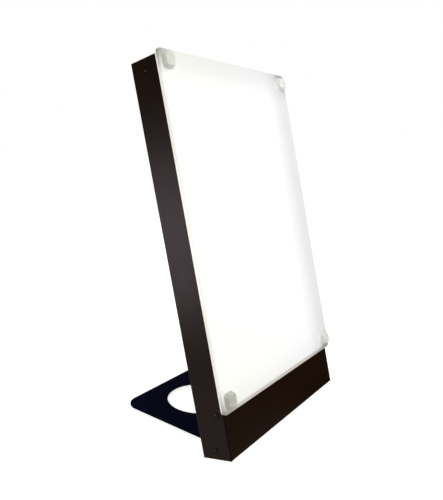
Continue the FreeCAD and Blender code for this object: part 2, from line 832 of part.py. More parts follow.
def hinge_bracket():
    """The right bracket: a flange on the back, bent out into an ear that carries the pivot."""
    flange = bent_flap(bracket_length, pivot_behind_back + ear_half_width, bracket_thickness, bracket_bend,
                       bend_relief)
    flange = placed(flange, Vector(bracket_outer, 0, 0), X, Y)
    flange.translate(Z * bracket_length)
    plate = block(bracket_inner - bracket_flange, bracket_outer - bracket_bend - bend_relief,
                  0, bracket_thickness, 0, bracket_length)
    x0 = bracket_outer - hinge_cut / 2.0
    axis = Vector(x0, pivot_behind_back, pivot_above_edge)
    ear = cylinder(ear_half_width, hinge_cut, axis, X)
    root = block(x0, x0 + hinge_cut, -1, pivot_behind_back, pivot_above_edge - ear_half_width, bracket_length)
    slope_start = bracket_thickness + bend_radius
    slope_end = pivot_behind_back + ear_half_width + 1
    slope = Part.makePolygon([
        Vector(x0, slope_start, bracket_length + 1),
        Vector(x0, slope_end, bracket_length + 1),
        Vector(x0, slope_end, pivot_above_edge),
        Vector(x0, pivot_behind_back, pivot_above_edge + ear_half_width),
        Vector(x0, slope_start, bracket_length + 1),
    ])
    bracket = flange.fuse(plate).common(ear.fuse(root).fuse(plate))
    bracket = bracket.cut(Part.Face(slope).extrude(X * hinge_cut))
    bracket = bracket.cut(cylinder(stud_radius + running_gap, hinge_cut, axis, X))
    for seat in bracket_screw_seats():
        bracket = bracket.cut(screw_hole(seat, Y))
    return bracket.removeSplitter()


def bracket_screws():
    screws = []
    for seat in bracket_screw_seats():
        right = sheet_screw(seat, Y)
        screws += [right, mirrored(right)]
    return Part.makeCompound(screws)


def pivot_nut():
    """The hexagon nut on the inside of the right bracket that the knob's stud screws into."""
    corners = []
    for index in range(7):
        angle = math.radians(60 * index)
        corners.append(Vector(bracket_inner - nut_length, pivot_behind_back + nut_radius * math.cos(angle),
                              pivot_above_edge + nut_radius * math.sin(angle)))
    nut = Part.Face(Part.makePolygon(corners)).extrude(X * nut_length)
    centre = Vector(bracket_inner - nut_length - 1, pivot_behind_back, pivot_above_edge)
    return nut.cut(cylinder(stud_radius + running_gap, nut_length + 2, centre, X))


def friction_washer():
    """The plastic disc between the right ear and the right bracket."""
    centre = Vector(bracket_outer, pivot_behind_back, pivot_above_edge)
    disc = cylinder(washer_radius, washer_thickness, centre, X)
    return disc.cut(cylinder(stud_radius + running_gap, washer_thickness, centre, X))


def tilt_knob():
    """The right hand knob: a lobed grip, a hub that bears on the ear, and a steel stud in one piece."""
    start = foot_outer + face_gap
    axis = Vector(0, pivot_behind_back, pivot_above_edge)
    hub = cylinder(knob_hub_radius, knob_hub_length, axis + X * start, X)
    grip_start = start + knob_hub_length
    grip = cylinder(knob_radius, knob_length, axis + X * grip_start, X)
    end = grip_start + knob_length
    rims = [edge for edge in grip.Edges if edge.Closed and abs(edge.CenterOfMass.x - end) < 0.01]
    grip = grip.makeFillet(knob_rim_radius, rims)
    for index in range(knob_lobes):
        angle = 2 * math.pi * (index + 0.5) / knob_lobes
        reach = knob_radius + knob_lobe_offset
        centre = axis + Vector(grip_start - 1, reach * math.cos(angle), reach * math.sin(angle))
        grip = grip.cut(cylinder(knob_lobe_radius, knob_length + 2, centre, X))
    return grip.fuse(hub)


def knob_stud():
    """The threaded stud moulded into the right knob."""
    start = bracket_inner - nut_length - 2.0
    axis = Vector(start, pivot_behind_back, pivot_above_edge)
    return cylinder(stud_radius, foot_outer + face_gap - start, axis, X)


def foot_plate():
    """A steel plate with a large round hole and two ears bent up at its front."""
    back_y = edge_y + foot_reach
    start_y = pivot_y - foot_front_margin
    half = foot_outer
    plate = block(-half, half, start_y, back_y, pad_height, foot_top)
    plate = round_edges(plate, foot_corner_radius, Z, lambda point: point.y > 0)
    plate = round_edges(plate, foot_front_corner_radius, Z, lambda point: point.y < start_y + 1)
    hole_centre = Vector(0, edge_y + foot_hole_behind, pad_height - 1)
    plate = plate.cut(cylinder(foot_hole_radius, foot_thickness + 2, hole_centre, Z))
    ear_y0 = pivot_y - ear_half_width
    ear_y1 = pivot_y + ear_back_run
    ear_top = pivot_z + ear_half_width
    flap = bent_flap(ear_y1 - ear_y0, ear_top - pad_height, foot_thickness, foot_bend_radius, foot_relief)
    flap = placed(flap, Vector(half, ear_y0, pad_height), X, Z)
    x0 = half - hinge_cut / 2.0
    slope_y = pivot_y + ear_half_width
    profile = Part.makePolygon([
        Vector(x0, ear_y1 + 1, pad_height + foot_bend_radius),
        Vector(x0, slope_y, pivot_z),
        Vector(x0, slope_y, ear_top + 1),
        Vector(x0, ear_y1 + 1, ear_top + 1),
        Vector(x0, ear_y1 + 1, pad_height + foot_bend_radius),
    ])
    flap = flap.cut(Part.Face(profile).extrude(X * hinge_cut))
    axis = Vector(x0, pivot_y, pivot_z)
    crown = block(x0, half + 1, ear_y0 - 1, ear_y1 + 1, pivot_z, ear_top + 1)
    crown = crown.cut(cylinder(ear_half_width, hinge_cut, axis, X))
    flap = flap.cut(crown).cut(cylinder(stud_radius + running_gap, hinge_cut, axis, X))
    notch = block(half - foot_bend_radius - foot_relief, half + 1, start_y - 1, ear_y1 + foot_relief,
                  pad_height - 1, foot_top + 1)
    plate = plate.cut(notch).cut(mirrored(notch))
    return plate.fuse(flap).fuse(mirrored(flap)).removeSplitter()


def foot_pads():
    """Four round rubber pads under the plate."""
    pads = []
    x = foot_outer - pad_inset
    for side in (-1, 1):
        for y in (pivot_y, edge_y + foot_reach - pad_inset):
            pads.append(cylinder(pad_radius, pad_height, Vector(side * x, y, 0), Z))
    return Part.makeCompound(pads)


on_housing("rear_tray", rear_tray())
on_housing("lower_cover", lower_cover())
on_housing("top_cap", top_cap())
on_housing("side_screws", side_screws())
on_housing("uv_filter", front_panel(panel_back_y, filter_thickness, 0))
on_housing("diffuser_panel", front_panel(panel_mid_y, diffuser_thickness, panel_bevel))
on_housing("panel_screws", panel_screws())
for label, (bumper_x, bumper_z) in zip(("low_left", "high_left", "low_right", "high_right"), bumper_centres()):
    on_housing("bumper_" + label, corner_bumper(bumper_x, bumper_z))
on_housing("reflector", reflector())
on_housing("holder_shelf", holder_shelf())
for index, lamp_x in enumerate(lamp_places()):
    number = str(index + 1)
    on_housing("twin_tube_" + number, twin_tube(lamp_x))
    on_housing("tube_base_" + number, lamp_base(lamp_x))
    on_housing("lamp_holder_" + number, lamp_holder(lamp_x))
    on_housing("lamp_clip_" + number, lamp_clip(lamp_x))
on_housing("ballast_case", ballast_case())
on_housing("ballast_terminals", ballast_terminals())
on_housing("back_screws", back_screws())
on_housing("switch_bezel", switch_bezel())
on_housing("switch_rocker", switch_rocker())
on_housing("inlet_socket", inlet_body())
on_housing("inlet_pins", inlet_pins())
on_housing("bracket_screws", bracket_screws())
for label, side in (("right", lambda shape: shape), ("left", mirrored)):
    on_housing("hinge_bracket_" + label, side(hinge_bracket()))
    on_housing("pivot_nut_" + label, side(pivot_nut()))
    on_housing("friction_washer_" + label, side(friction_washer()))
    on_housing("tilt_knob_" + label, side(tilt_knob()))
    on_housing("knob_stud_" + label, side(knob_stud()))
parts["foot_plate"] = foot_plate()
parts["foot_pads"] = foot_pads()

os.makedirs("parts", exist_ok=True)
for name, shape in parts.items():
    shape.exportStep("parts/" + name + ".step")
    box = shape.BoundBox
    print(name, len(shape.Solids), "solids", shape.isValid(), round(shape.Volume / 1000.0, 2), "cm3",
          [round(value, 1) for value in (box.XMin, box.XMax, box.YMin, box.YMax, box.ZMin, box.ZMax)])
print("pivot", round(pivot_y, 3), round(pivot_z, 3), "edge", round(edge_y, 3), round(edge_z, 3))
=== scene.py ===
import json
import math

import bmesh
import bpy
from bpy.props import FloatProperty, FloatVectorProperty, IntProperty, PointerProperty
from mathutils import Matrix, Vector
from mathutils.bvhtree import BVHTree


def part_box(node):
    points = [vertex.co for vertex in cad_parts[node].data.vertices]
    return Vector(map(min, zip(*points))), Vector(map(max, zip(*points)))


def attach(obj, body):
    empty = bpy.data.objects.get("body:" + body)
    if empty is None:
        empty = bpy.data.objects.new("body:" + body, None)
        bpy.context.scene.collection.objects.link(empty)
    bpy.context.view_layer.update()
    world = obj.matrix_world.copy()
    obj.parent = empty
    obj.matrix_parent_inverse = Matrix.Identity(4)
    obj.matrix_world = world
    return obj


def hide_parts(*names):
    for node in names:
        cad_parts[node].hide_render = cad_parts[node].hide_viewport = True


bl_info = {
    "name": "Light Therapy Lamp",
    "version": (1, 0, 0),
    "blender": (4, 5, 0),
    "location": "3D View > Sidebar > Lamp",
    "description": "Finishes and fine pieces for a light therapy lamp that stands on its CAD frame",
    "category": "Object",
}

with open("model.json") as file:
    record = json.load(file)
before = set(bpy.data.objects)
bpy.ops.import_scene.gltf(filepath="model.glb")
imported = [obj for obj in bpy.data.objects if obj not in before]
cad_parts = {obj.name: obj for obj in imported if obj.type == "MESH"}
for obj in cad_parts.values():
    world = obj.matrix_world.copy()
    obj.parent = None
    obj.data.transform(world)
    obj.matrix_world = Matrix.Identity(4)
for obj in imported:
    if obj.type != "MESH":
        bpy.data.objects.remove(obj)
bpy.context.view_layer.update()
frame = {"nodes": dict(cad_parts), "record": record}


# Where the leaning housing stands

def mesh_of(node):
    """The mesh of a CAD node."""
    return frame["nodes"][node].data


def housing_matrix():
    """The housing's own axes: x across, y to the back from the back plane, z up it from its bottom."""
    front = max(mesh_of("diffuser_panel").polygons, key=lambda face: -face.normal.y * face.area)
    lean = math.atan2(front.normal.z, -front.normal.y)
    back = Vector((0.0, math.cos(lean), -math.sin(lean)))
    up = Vector((0.0, math.sin(lean), math.cos(lean)))
    back_plane = max(back.dot(vertex.co) for vertex in mesh_of("rear_tray").vertices)
    bottom = min(up.dot(vertex.co) for vertex in mesh_of("lower_cover").vertices)
    turned = Matrix((Vector((1.0, 0.0, 0.0)), back, up)).transposed().to_4x4()
    return Matrix.Translation(back * back_plane + up * bottom) @ turned


HOUSING = housing_matrix()
TO_HOUSING = HOUSING.inverted()
OUT_OF_BACK = HOUSING.to_3x3() @ Vector((0.0, 1.0, 0.0))
RIGHTWARD = Vector((1.0, 0.0, 0.0))


def box_on_housing(points):
    """The lowest and highest corner round some points, in the housing's own axes."""
    places = [TO_HOUSING @ point.co for point in points]
    low = Vector([min(place[axis] for place in places) for axis in range(3)])
    high = Vector([max(place[axis] for place in places) for axis in range(3)])
    return low, high


def node_box(node):
    """The box of a whole CAD node, in the housing's own axes."""
    return box_on_housing(mesh_of(node).vertices)


def solids_of(node):
    """The box of each separate solid of a CAD node, in the housing's own axes."""
    copy = bmesh.new()
    copy.from_mesh(mesh_of(node))
    bmesh.ops.remove_doubles(copy, verts=copy.verts, dist=1e-6)
    waiting = set(copy.verts)
    boxes = []
    while waiting:
        group = [waiting.pop()]
        for vert in group:
            for edge in vert.link_edges:
                other = edge.other_vert(vert)
                if other in waiting:
                    waiting.remove(other)
                    group.append(other)
        boxes.append(box_on_housing(group))
    copy.free()
    return sorted(boxes, key=lambda pair: [round(value, 5) for value in pair[0]])


# Sizes and colours that a user may change

def number(name, description, default, **more):
    """A setting that is a number."""
    return FloatProperty(name=name, description=description, default=default, **more)


def metres(name, description, default, **more):
    """A setting that is a length."""
    return number(name, description, default, unit="LENGTH", **more)


def colour(name, description, default):
    """A setting that is a colour."""
    return FloatVectorProperty(name=name, description=description, default=default, subtype="COLOR",
                               size=3, min=0.0, max=1.0)


class PaintSettings(bpy.types.PropertyGroup):
    """Colours and texture of the painted steel."""

    housing: colour("Housing", "Colour of the housing's powder coat", (0.0143, 0.0058, 0.0015))
    foot: colour("Foot", "Colour of the foot plate's powder coat", (0.0011, 0.0019, 0.0116))
    grain: metres("Grain", "Size of one bump of the powder coat", 0.0009, min=0.0001)
    depth: metres("Depth", "Height of the powder coat's bumps", 0.00006, min=0.0)


class GlowSettings(bpy.types.PropertyGroup):
    """How the lit panel shines."""

    strength: number("Strength", "Light of the lamps at the middle of the panel", 0.54, min=0.0)
    top_reach: metres("Top Reach", "Width of the dimmer band at the top", 0.060)
    side_reach: metres("Side Reach", "Width of the dimmer band at the right", 0.078)
    bottom_reach: metres("Bottom Reach", "Width of the dimmer band at the bottom", 0.028)
    band: metres("Band", "Height of the dull band along the bottom edge", 0.0043)
    corner_reach: metres("Corner Reach", "How far each unlit corner reaches", 0.036)


class ScrewSettings(bpy.types.PropertyGroup):
    """The domed screws and their cross recess. The cross is given as shares of the head's radius."""

    rim: number("Rim", "Height of the head's straight rim, as a share of its height", 0.3, min=0.05, max=0.9)
    recess_width: number("Recess Width", "Length of one arm pair of the cross", 1.05, min=0.2, max=1.6)
    recess_slot: number("Recess Slot", "Width of an arm of the cross", 0.26, min=0.05, max=0.6)
    recess_depth: number("Recess Depth", "Depth of the cross", 0.42, min=0.05, max=1.0)
    seed: IntProperty(name="Seed", description="Turns each cross its own way", default=7)


class SmallPartSettings(bpy.types.PropertyGroup):
    """Sizes of the switch marks, the knob caps and the stud threads."""

    mark_height: metres("Mark Height", "Height of the signs on the rocker", 0.0040)
    mark_line: metres("Mark Line", "Line width of the signs on the rocker", 0.0007)
    mark_rise: metres("Mark Rise", "How far the signs stand out of the rocker", 0.00008)
    cap_radius: metres("Cap Radius", "Radius of the round cap in each knob", 0.0062)
    thread_pitch: metres("Thread Pitch", "Pitch of the knob studs", 0.001)
    thread_depth: metres("Thread Depth", "Depth of the thread", 0.00045)


class StageSettings(bpy.types.PropertyGroup):
    """The floor, the light and the camera."""

    floor: colour("Floor", "Colour of the floor", (0.45, 0.45, 0.45))
    floor_lift: number("Floor Lift", "Brightness added to the floor for the eye", 0.80, min=0.0)
    surround: number("Surround", "Strength of the even light all round", 0.45, min=0.0)
    front: number("Front", "Power of the large light in front and above, in watts", 29.0, min=0.0)
    side: number("Side", "Power of the low light behind the left side, in watts", 1.78, min=0.0)
    back: number("Back", "Power of the large light behind and above, in watts", 25.0, min=0.0)
    lens: number("Lens", "Focal length for a 36 mm film, in millimetres", 37.93)


# Node trees

def wire(tree, source, socket):
    """Link a socket, or set it to a plain value. A colour gets full alpha."""
    if isinstance(source, bpy.types.NodeSocket):
        tree.links.new(source, socket)
    elif socket.type == "RGBA":
        socket.default_value = (*source[:3], 1.0)
    else:
        socket.default_value = source


def put(tree, kind, inputs=None, **settings):
    """Add a node with its settings, and wire or fill the inputs that are named or numbered."""
    node = tree.nodes.new(kind)
    for name, value in settings.items():
        setattr(node, name, value)
    for name, source in (inputs or {}).items():
        wire(tree, source, node.inputs[name])
    return node


def maths(tree, operation, first, second=0.0, third=0.0, clamp=False):
    """The result of one maths node."""
    node = put(tree, "ShaderNodeMath", {0: first, 1: second, 2: third}, operation=operation, use_clamp=clamp)
    return node.outputs[0]


def times(tree, first, second):
    """One value times another."""
    return maths(tree, "MULTIPLY", first, second)


def plus(tree, first, second, clamp=False):
    """The sum of two values."""
    return maths(tree, "ADD", first, second, clamp=clamp)


def less(tree, first, second, clamp=False):
    """One value less another."""
    return maths(tree, "SUBTRACT", first, second, clamp=clamp)


def over(tree, first, second):
    """One value divided by another."""
    return maths(tree, "DIVIDE", first, second)


def scaled(tree, value, share, start, clamp=False):
    """A value times a share, from a start."""
    return maths(tree, "MULTIPLY_ADD", value, share, start, clamp)


def ramp(tree, value, start, end, first=0.0, second=1.0):
    """A smooth change from one value to another."""
    node = put(tree, "ShaderNodeMapRange", {0: value, 1: start, 2: end, 3: first, 4: second},
               interpolation_type="SMOOTHSTEP")
    return node.outputs[0]


def vector(tree, x=0.0, y=0.0, z=0.0):
    """A vector from its three parts."""
    return put(tree, "ShaderNodeCombineXYZ", {0: x, 1: y, 2: z}).outputs[0]


def parts_of(tree, place):
    """The three parts of a vector."""
    return put(tree, "ShaderNodeSeparateXYZ", {0: place}).outputs


def tint(tree, factor, first, second, blend="MIX"):
    """A mix of two colours."""
    node = put(tree, "ShaderNodeMix", {0: factor, 6: first, 7: second}, data_type="RGBA", blend_type=blend)
    return node.outputs[2]


def noise(tree, place, scale, detail=2.0, roughness=0.5):
    """The grey value of a noise texture."""
    inputs = {"Vector": place, "Scale": scale, "Detail": detail, "Roughness": roughness}
    return put(tree, "ShaderNodeTexNoise", inputs).outputs[0]


SHADER = "ShaderNodeTree"
GEOMETRY_TREE = "GeometryNodeTree"
SOCKET_TYPES = {
    "Vector": "NodeSocketVector", "Place": "NodeSocketVector", "Geometry": "NodeSocketGeometry",
    "Rings": "NodeSocketInt", "Seed": "NodeSocketInt", "Finish": "NodeSocketMaterial",
}
WHITE = (1.0, 1.0, 1.0)
BLACK = (0.0, 0.0, 0.0)
ORIGIN = (0.0, 0.0, 0.0)


def new_tree(name, kind, inputs, outputs):
    """A node tree with named inputs and outputs, which are numbers unless the table says otherwise."""
    tree = bpy.data.node_groups.new(name, kind)
    for in_out, labels in (("INPUT", inputs), ("OUTPUT", outputs)):
        for label in labels:
            kind_of_socket = SOCKET_TYPES.get(label, "NodeSocketFloat")
            tree.interface.new_socket(name=label, in_out=in_out, socket_type=kind_of_socket)
    given = tree.nodes.new("NodeGroupInput")
    result = tree.nodes.new("NodeGroupOutput")
    return tree, given.outputs, result.inputs


def use(tree, group_name, inputs):
    """Place a shared effect in a material, with this material's own values."""
    return put(tree, "ShaderNodeGroup", inputs, node_tree=bpy.data.node_groups[group_name]).outputs


def powder_grain_group():
    """Fine bumps of a powder coat, with a broad mottle for its gloss."""
    labels = ("Vector", "Grain", "Mottle Size")
    tree, given, result = new_tree("Powder Grain", SHADER, labels, ("Height", "Mottle"))
    coarse_share = 0.35
    place = given["Vector"]
    fine = noise(tree, place, over(tree, 1.0, given["Grain"]), detail=3.0, roughness=0.55)
    coarse = noise(tree, place, over(tree, coarse_share, given["Grain"]), detail=1.0)
    wire(tree, scaled(tree, fine, 1.0 - coarse_share, times(tree, coarse, coarse_share)), result["Height"])
    mottle = noise(tree, place, over(tree, 1.0, given["Mottle Size"]), detail=4.0, roughness=0.6)
    wire(tree, mottle, result["Mottle"])


def handling_group():
    """Faint smudges and dust where hands and cloths have been."""
    tree, given, result = new_tree("Handling", SHADER, ("Vector", "Size", "Cover"), ("Mask",))
    clean_level = 0.75
    softness = 0.25
    broad = noise(tree, given["Vector"], over(tree, 1.0, given["Size"]), detail=5.0, roughness=0.62)
    start = less(tree, clean_level, times(tree, given["Cover"], 0.5))
    wire(tree, ramp(tree, broad, start, plus(tree, start, softness)), result["Mask"])


def moulded_group():
    """The fine stipple of a moulded plastic, with a slow change of shade."""
    tree, given, result = new_tree("Moulded Surface", SHADER, ("Vector", "Stipple"), ("Height", "Shade"))
    shades_in_a_metre = 45.0
    wire(tree, noise(tree, given["Vector"], over(tree, 1.0, given["Stipple"])), result["Height"])
    wire(tree, noise(tree, given["Vector"], shades_in_a_metre, detail=3.0), result["Shade"])


def brushed_group():
    """Streaks of a rolled or brushed metal along the x axis."""
    labels = ("Vector", "Streak", "Length")
    tree, given, result = new_tree("Brushed Metal", SHADER, labels, ("Height", "Streaks"))
    parts = parts_of(tree, given["Vector"])
    along = over(tree, parts[0], given["Length"])
    across = over(tree, plus(tree, parts[1], parts[2]), given["Streak"])
    streaks = noise(tree, vector(tree, along, across), 1.0, detail=3.0, roughness=0.6)
    wire(tree, streaks, result["Height"])
    wire(tree, ramp(tree, streaks, 0.3, 0.7), result["Streaks"])


def lit_panel_group():
    """Where light comes through the front panels: full in the middle, dim at the edges and corners."""
    labels = ("Place", "Half Width", "Bottom", "Top", "Top Reach", "Side Reach", "Bottom Reach", "Band",
              "Corner Reach")
    results = ("Light", "Warmth", "Bottom Edge", "Corner")
    tree, given, result = new_tree("Panel Light", SHADER, labels, results)
    lost_at = {"top": 0.33, "right": 0.38, "bottom": 0.28, "band": 0.45, "corner": 0.75}
    right_edge = 0.008
    band_fade = 0.003
    warm_from, warm_to = 0.12, -0.16

    parts = parts_of(tree, given["Place"])
    from_top = less(tree, given["Top"], parts[2])
    from_bottom = less(tree, parts[2], given["Bottom"])
    from_right = less(tree, given["Half Width"], parts[0])
    from_side = less(tree, given["Half Width"], maths(tree, "ABSOLUTE", parts[0]))
    corner = vector(tree, from_side, maths(tree, "MINIMUM", from_top, from_bottom))
    span = put(tree, "ShaderNodeVectorMath", {0: corner}, operation="LENGTH").outputs["Value"]
    unlit = less(tree, 1.0, over(tree, span, given["Corner Reach"]), clamp=True)
    fall = maths(tree, "EXPONENT", over(tree, times(tree, from_bottom, -1.0), given["Bottom Reach"]))
    band_end = plus(tree, given["Band"], band_fade)
    losses = (
        ramp(tree, from_top, given["Top Reach"], 0.0, 0.0, lost_at["top"]),
        ramp(tree, from_right, given["Side Reach"], right_edge, 0.0, lost_at["right"]),
        times(tree, fall, lost_at["bottom"]),
        ramp(tree, from_bottom, band_end, given["Band"], 0.0, lost_at["band"]),
        times(tree, unlit, lost_at["corner"]),
    )
    lost = 0.0
    for loss in losses:
        lost = plus(tree, lost, loss)
    wire(tree, less(tree, 1.0, lost, clamp=True), result["Light"])
    wire(tree, ramp(tree, parts[0], warm_from, warm_to), result["Warmth"])
    wire(tree, ramp(tree, from_bottom, band_end, given["Band"]), result["Bottom Edge"])
    wire(tree, unlit, result["Corner"])


# Materials

def material(name, constants):
    """A new material with one plain shader, whose even values sit on its own sockets."""
    made = bpy.data.materials.new(name)
    made.use_nodes = True
    tree = made.node_tree
    tree.nodes.clear()
    shader = put(tree, "ShaderNodeBsdfPrincipled", constants)
    end = tree.nodes.new("ShaderNodeOutputMaterial")
    tree.links.new(shader.outputs[0], end.inputs["Surface"])
    return made, tree, shader.inputs


def object_place(tree):
    """Object coordinates through a mapping."""
    coordinates = tree.nodes.new("ShaderNodeTexCoord").outputs["Object"]
    return put(tree, "ShaderNodeMapping", {"Vector": coordinates}).outputs[0]


def housing_place(tree):
    """Object coordinates turned into the housing's own axes."""
    coordinates = tree.nodes.new("ShaderNodeTexCoord").outputs["Object"]
    inputs = {"Vector": coordinates, "Location": HOUSING.translation, "Rotation": HOUSING.to_euler()}
    return put(tree, "ShaderNodeMapping", inputs, vector_type="TEXTURE").outputs[0]


def bumped(tree, shader, height, distance):
    """Give a finish bumps."""
    inputs = {"Height": height, "Distance": distance, "Strength": 1.0}
    wire(tree, put(tree, "ShaderNodeBump", inputs).outputs[0], shader["Normal"])


def handled(tree, place, size, cover):
    """The mask of smudges of a size, over a share of the surface."""
    return use(tree, "Handling", {"Vector": place, "Size": size, "Cover": cover})["Mask"]


def clouded(tree, cloud, most):
    """A cloudy mask from a noise."""
    return ramp(tree, cloud, 0.35, 0.65, 0.0, most)


def painted_seam_and_ring_shade(tree):
    """One where shade is painted: in the shadowed seams along the housing's front edges, and in a painted
    shadow ring round each side screw.
    """
    low, high = node_box("rear_tray")
    side_start, side_full = high.x - 0.0024, high.x - 0.0018
    front_start, front_full = low.y + 0.0022, low.y + 0.0014
    ring_outer, ring_inner = 0.0019, 0.0007
    parts = parts_of(tree, housing_place(tree))
    at_side = ramp(tree, maths(tree, "ABSOLUTE", parts[0]), side_start, side_full)
    lines = times(tree, at_side, ramp(tree, parts[1], front_start, front_full))
    flat = vector(tree, 0.0, parts[1], parts[2])
    # A painted shadow ring round each side screw, darker close to its head.
    for screw_low, screw_high in solids_of("side_screws"):
        if screw_low.x < 0.0:
            middle = (screw_low + screw_high) / 2.0
            radius = (screw_high.z - screw_low.z) / 2.0
            away = put(tree, "ShaderNodeVectorMath", {0: flat, 1: (0.0, middle.y, middle.z)},
                       operation="DISTANCE").outputs["Value"]
            lines = maths(tree, "MAXIMUM", lines, ramp(tree, away, radius + ring_outer, radius + ring_inner))
    return lines


def powder_coat(name, rgb, specular, gloss, shine=WHITE, shaded=None):
    """Fine-textured powder coat on steel, with darker lines of painted shade where a function says so."""
    sizes = bpy.context.scene.lamp_paint
    constants = {"Specular IOR Level": specular, "IOR": 1.5, "Specular Tint": shine}
    made, tree, shader = material(name, constants)
    place = object_place(tree)
    grain = use(tree, "Powder Grain", {"Vector": place, "Grain": sizes.grain, "Mottle Size": 0.045})
    smudge = handled(tree, place, size=0.07, cover=0.3)
    dusty = [min(1.0, channel * 1.5 + 0.002) for channel in rgb]
    base = tint(tree, times(tree, smudge, 0.22), rgb, dusty)
    speck = ramp(tree, grain["Height"], 0.46, 0.62, 0.78, 1.25)
    base = tint(tree, 1.0, base, vector(tree, speck, speck, speck), "MULTIPLY")
    rough = scaled(tree, grain["Mottle"], 0.10, gloss - 0.05)
    # Painted shade: the seams and the rings round the screws are darkened in the base colour and made
    # rougher.
    if shaded:
        lines = shaded(tree)
        painted_seam_shade = (0.0015, 0.0004, 0.0003)
        base = tint(tree, lines, base, painted_seam_shade)
        rough = scaled(tree, lines, 0.45, rough)
    wire(tree, base, shader["Base Color"])
    wire(tree, scaled(tree, smudge, 0.05, rough), shader["Roughness"])
    bumped(tree, shader, grain["Height"], sizes.depth)
    return made


def blackened_screw():
    """Black-finished steel, worn a little in scattered patches."""
    black, bare = (0.0060, 0.0040, 0.0035), (0.040, 0.034, 0.031)
    made, tree, shader = material("Blackened Screw", {"Specular IOR Level": 0.35})
    place = object_place(tree)
    wear = handled(tree, place, size=0.004, cover=0.55)
    wire(tree, tint(tree, times(tree, wear, 0.4), black, bare), shader["Base Color"])
    wire(tree, times(tree, wear, 0.25), shader["Metallic"])
    wire(tree, scaled(tree, wear, 0.14, 0.34), shader["Roughness"])
    streaks = use(tree, "Brushed Metal", {"Vector": place, "Streak": 0.0003, "Length": 0.003})
    bumped(tree, shader, streaks["Height"], 0.00001)
    return made


def bare_metal(name, rgb, gloss, streak, length, wear_size):
    """Plated or rolled metal with streaks and handling marks."""
    dull = [channel * 0.62 for channel in rgb]
    made, tree, shader = material(name, {"Metallic": 1.0})
    place = object_place(tree)
    streaks = use(tree, "Brushed Metal", {"Vector": place, "Streak": streak, "Length": length})
    marks = handled(tree, place, size=wear_size, cover=0.45)
    mask = scaled(tree, marks, 0.5, times(tree, streaks["Streaks"], 0.35), clamp=True)
    wire(tree, tint(tree, mask, rgb, dull), shader["Base Color"])
    wire(tree, scaled(tree, mask, 0.2, gloss), shader["Roughness"])
    bumped(tree, shader, streaks["Height"], 0.00002)
    return made


def plastic(name, rgb, gloss, stipple, depth):
    """Moulded plastic, lighter where it is worn."""
    lighter = [min(1.0, channel * 1.35 + 0.004) for channel in rgb]
    made, tree, shader = material(name, {"Specular IOR Level": 0.45})
    place = object_place(tree)
    surface = use(tree, "Moulded Surface", {"Vector": place, "Stipple": stipple})
    worn = handled(tree, place, size=0.02, cover=0.35)
    mask = scaled(tree, worn, 0.35, times(tree, surface["Shade"], 0.35), clamp=True)
    wire(tree, tint(tree, mask, rgb, lighter), shader["Base Color"])
    wire(tree, scaled(tree, worn, 0.12, gloss), shader["Roughness"])
    bumped(tree, shader, surface["Height"], depth)
    return made


def rubber():
    """Dull black rubber with a dusty bloom."""
    black, dust = (0.010, 0.010, 0.011), (0.035, 0.034, 0.032)
    made, tree, shader = material("Foot Rubber", {"Specular IOR Level": 0.25})
    place = object_place(tree)
    surface = use(tree, "Moulded Surface", {"Vector": place, "Stipple": 0.0008})
    bloom = handled(tree, place, size=0.012, cover=0.7)
    wire(tree, tint(tree, bloom, black, dust), shader["Base Color"])
    wire(tree, scaled(tree, bloom, 0.15, 0.72), shader["Roughness"])
    bumped(tree, shader, surface["Height"], 0.00008)
    return made


def panel_light(tree):
    """The shared panel light, with the panel's own sizes."""
    sizes = bpy.context.scene.lamp_glow
    low, high = node_box("diffuser_panel")
    place = housing_place(tree)
    light = use(tree, "Panel Light", {
        "Place": place, "Half Width": high.x, "Bottom": low.z, "Top": high.z,
        "Top Reach": sizes.top_reach, "Side Reach": sizes.side_reach, "Bottom Reach": sizes.bottom_reach,
        "Band": sizes.band, "Corner Reach": sizes.corner_reach,
    })
    return place, light


def opal_acrylic():
    """The white front panel, lit from behind, with painted shade in its base colour along the bottom edge and
    in the corners.
    """
    cool, yellowed, cloudy = (0.565, 0.565, 0.575), (0.57, 0.57, 0.51), (0.53, 0.53, 0.50)
    painted_bottom_edge_shade, painted_corner_shade = (0.53, 0.50, 0.45), (0.36, 0.36, 0.32)
    warm_light = (1.0, 0.945, 0.88)
    rim_level = 0.84
    made, tree, shader = material("Opal Acrylic", {
        "Roughness": 0.28, "Specular IOR Level": 0.35,
        "Emission Strength": bpy.context.scene.lamp_glow.strength,
    })
    place, light = panel_light(tree)
    front = node_box("diffuser_panel")[0].y
    rim = ramp(tree, parts_of(tree, place)[1], front + 0.0001, front + 0.0009)
    rim_light = less(tree, rim_level, times(tree, light["Bottom Edge"], 0.66))
    rim_light = less(tree, rim_light, times(tree, light["Corner"], 0.95), clamp=True)
    lit = plus(tree, times(tree, light["Light"], less(tree, 1.0, rim)), times(tree, rim_light, rim))
    cloud = noise(tree, place, 9.0)
    body = tint(tree, light["Warmth"], cool, yellowed)
    body = tint(tree, clouded(tree, cloud, 0.25), body, cloudy)
    # Painted shade: the base colour is darker and warmer along the bottom edge band and darker in the unlit
    # corners.
    body = tint(tree, light["Bottom Edge"], body, painted_bottom_edge_shade)
    body = tint(tree, times(tree, light["Corner"], 0.65), body, painted_corner_shade)
    wire(tree, body, shader["Base Color"])
    warmed = maths(tree, "MAXIMUM", times(tree, rim, 0.8), light["Bottom Edge"])
    glow = tint(tree, 1.0, tint(tree, warmed, WHITE, warm_light), vector(tree, lit, lit, lit), "MULTIPLY")
    wire(tree, glow, shader["Emission Color"])
    return made


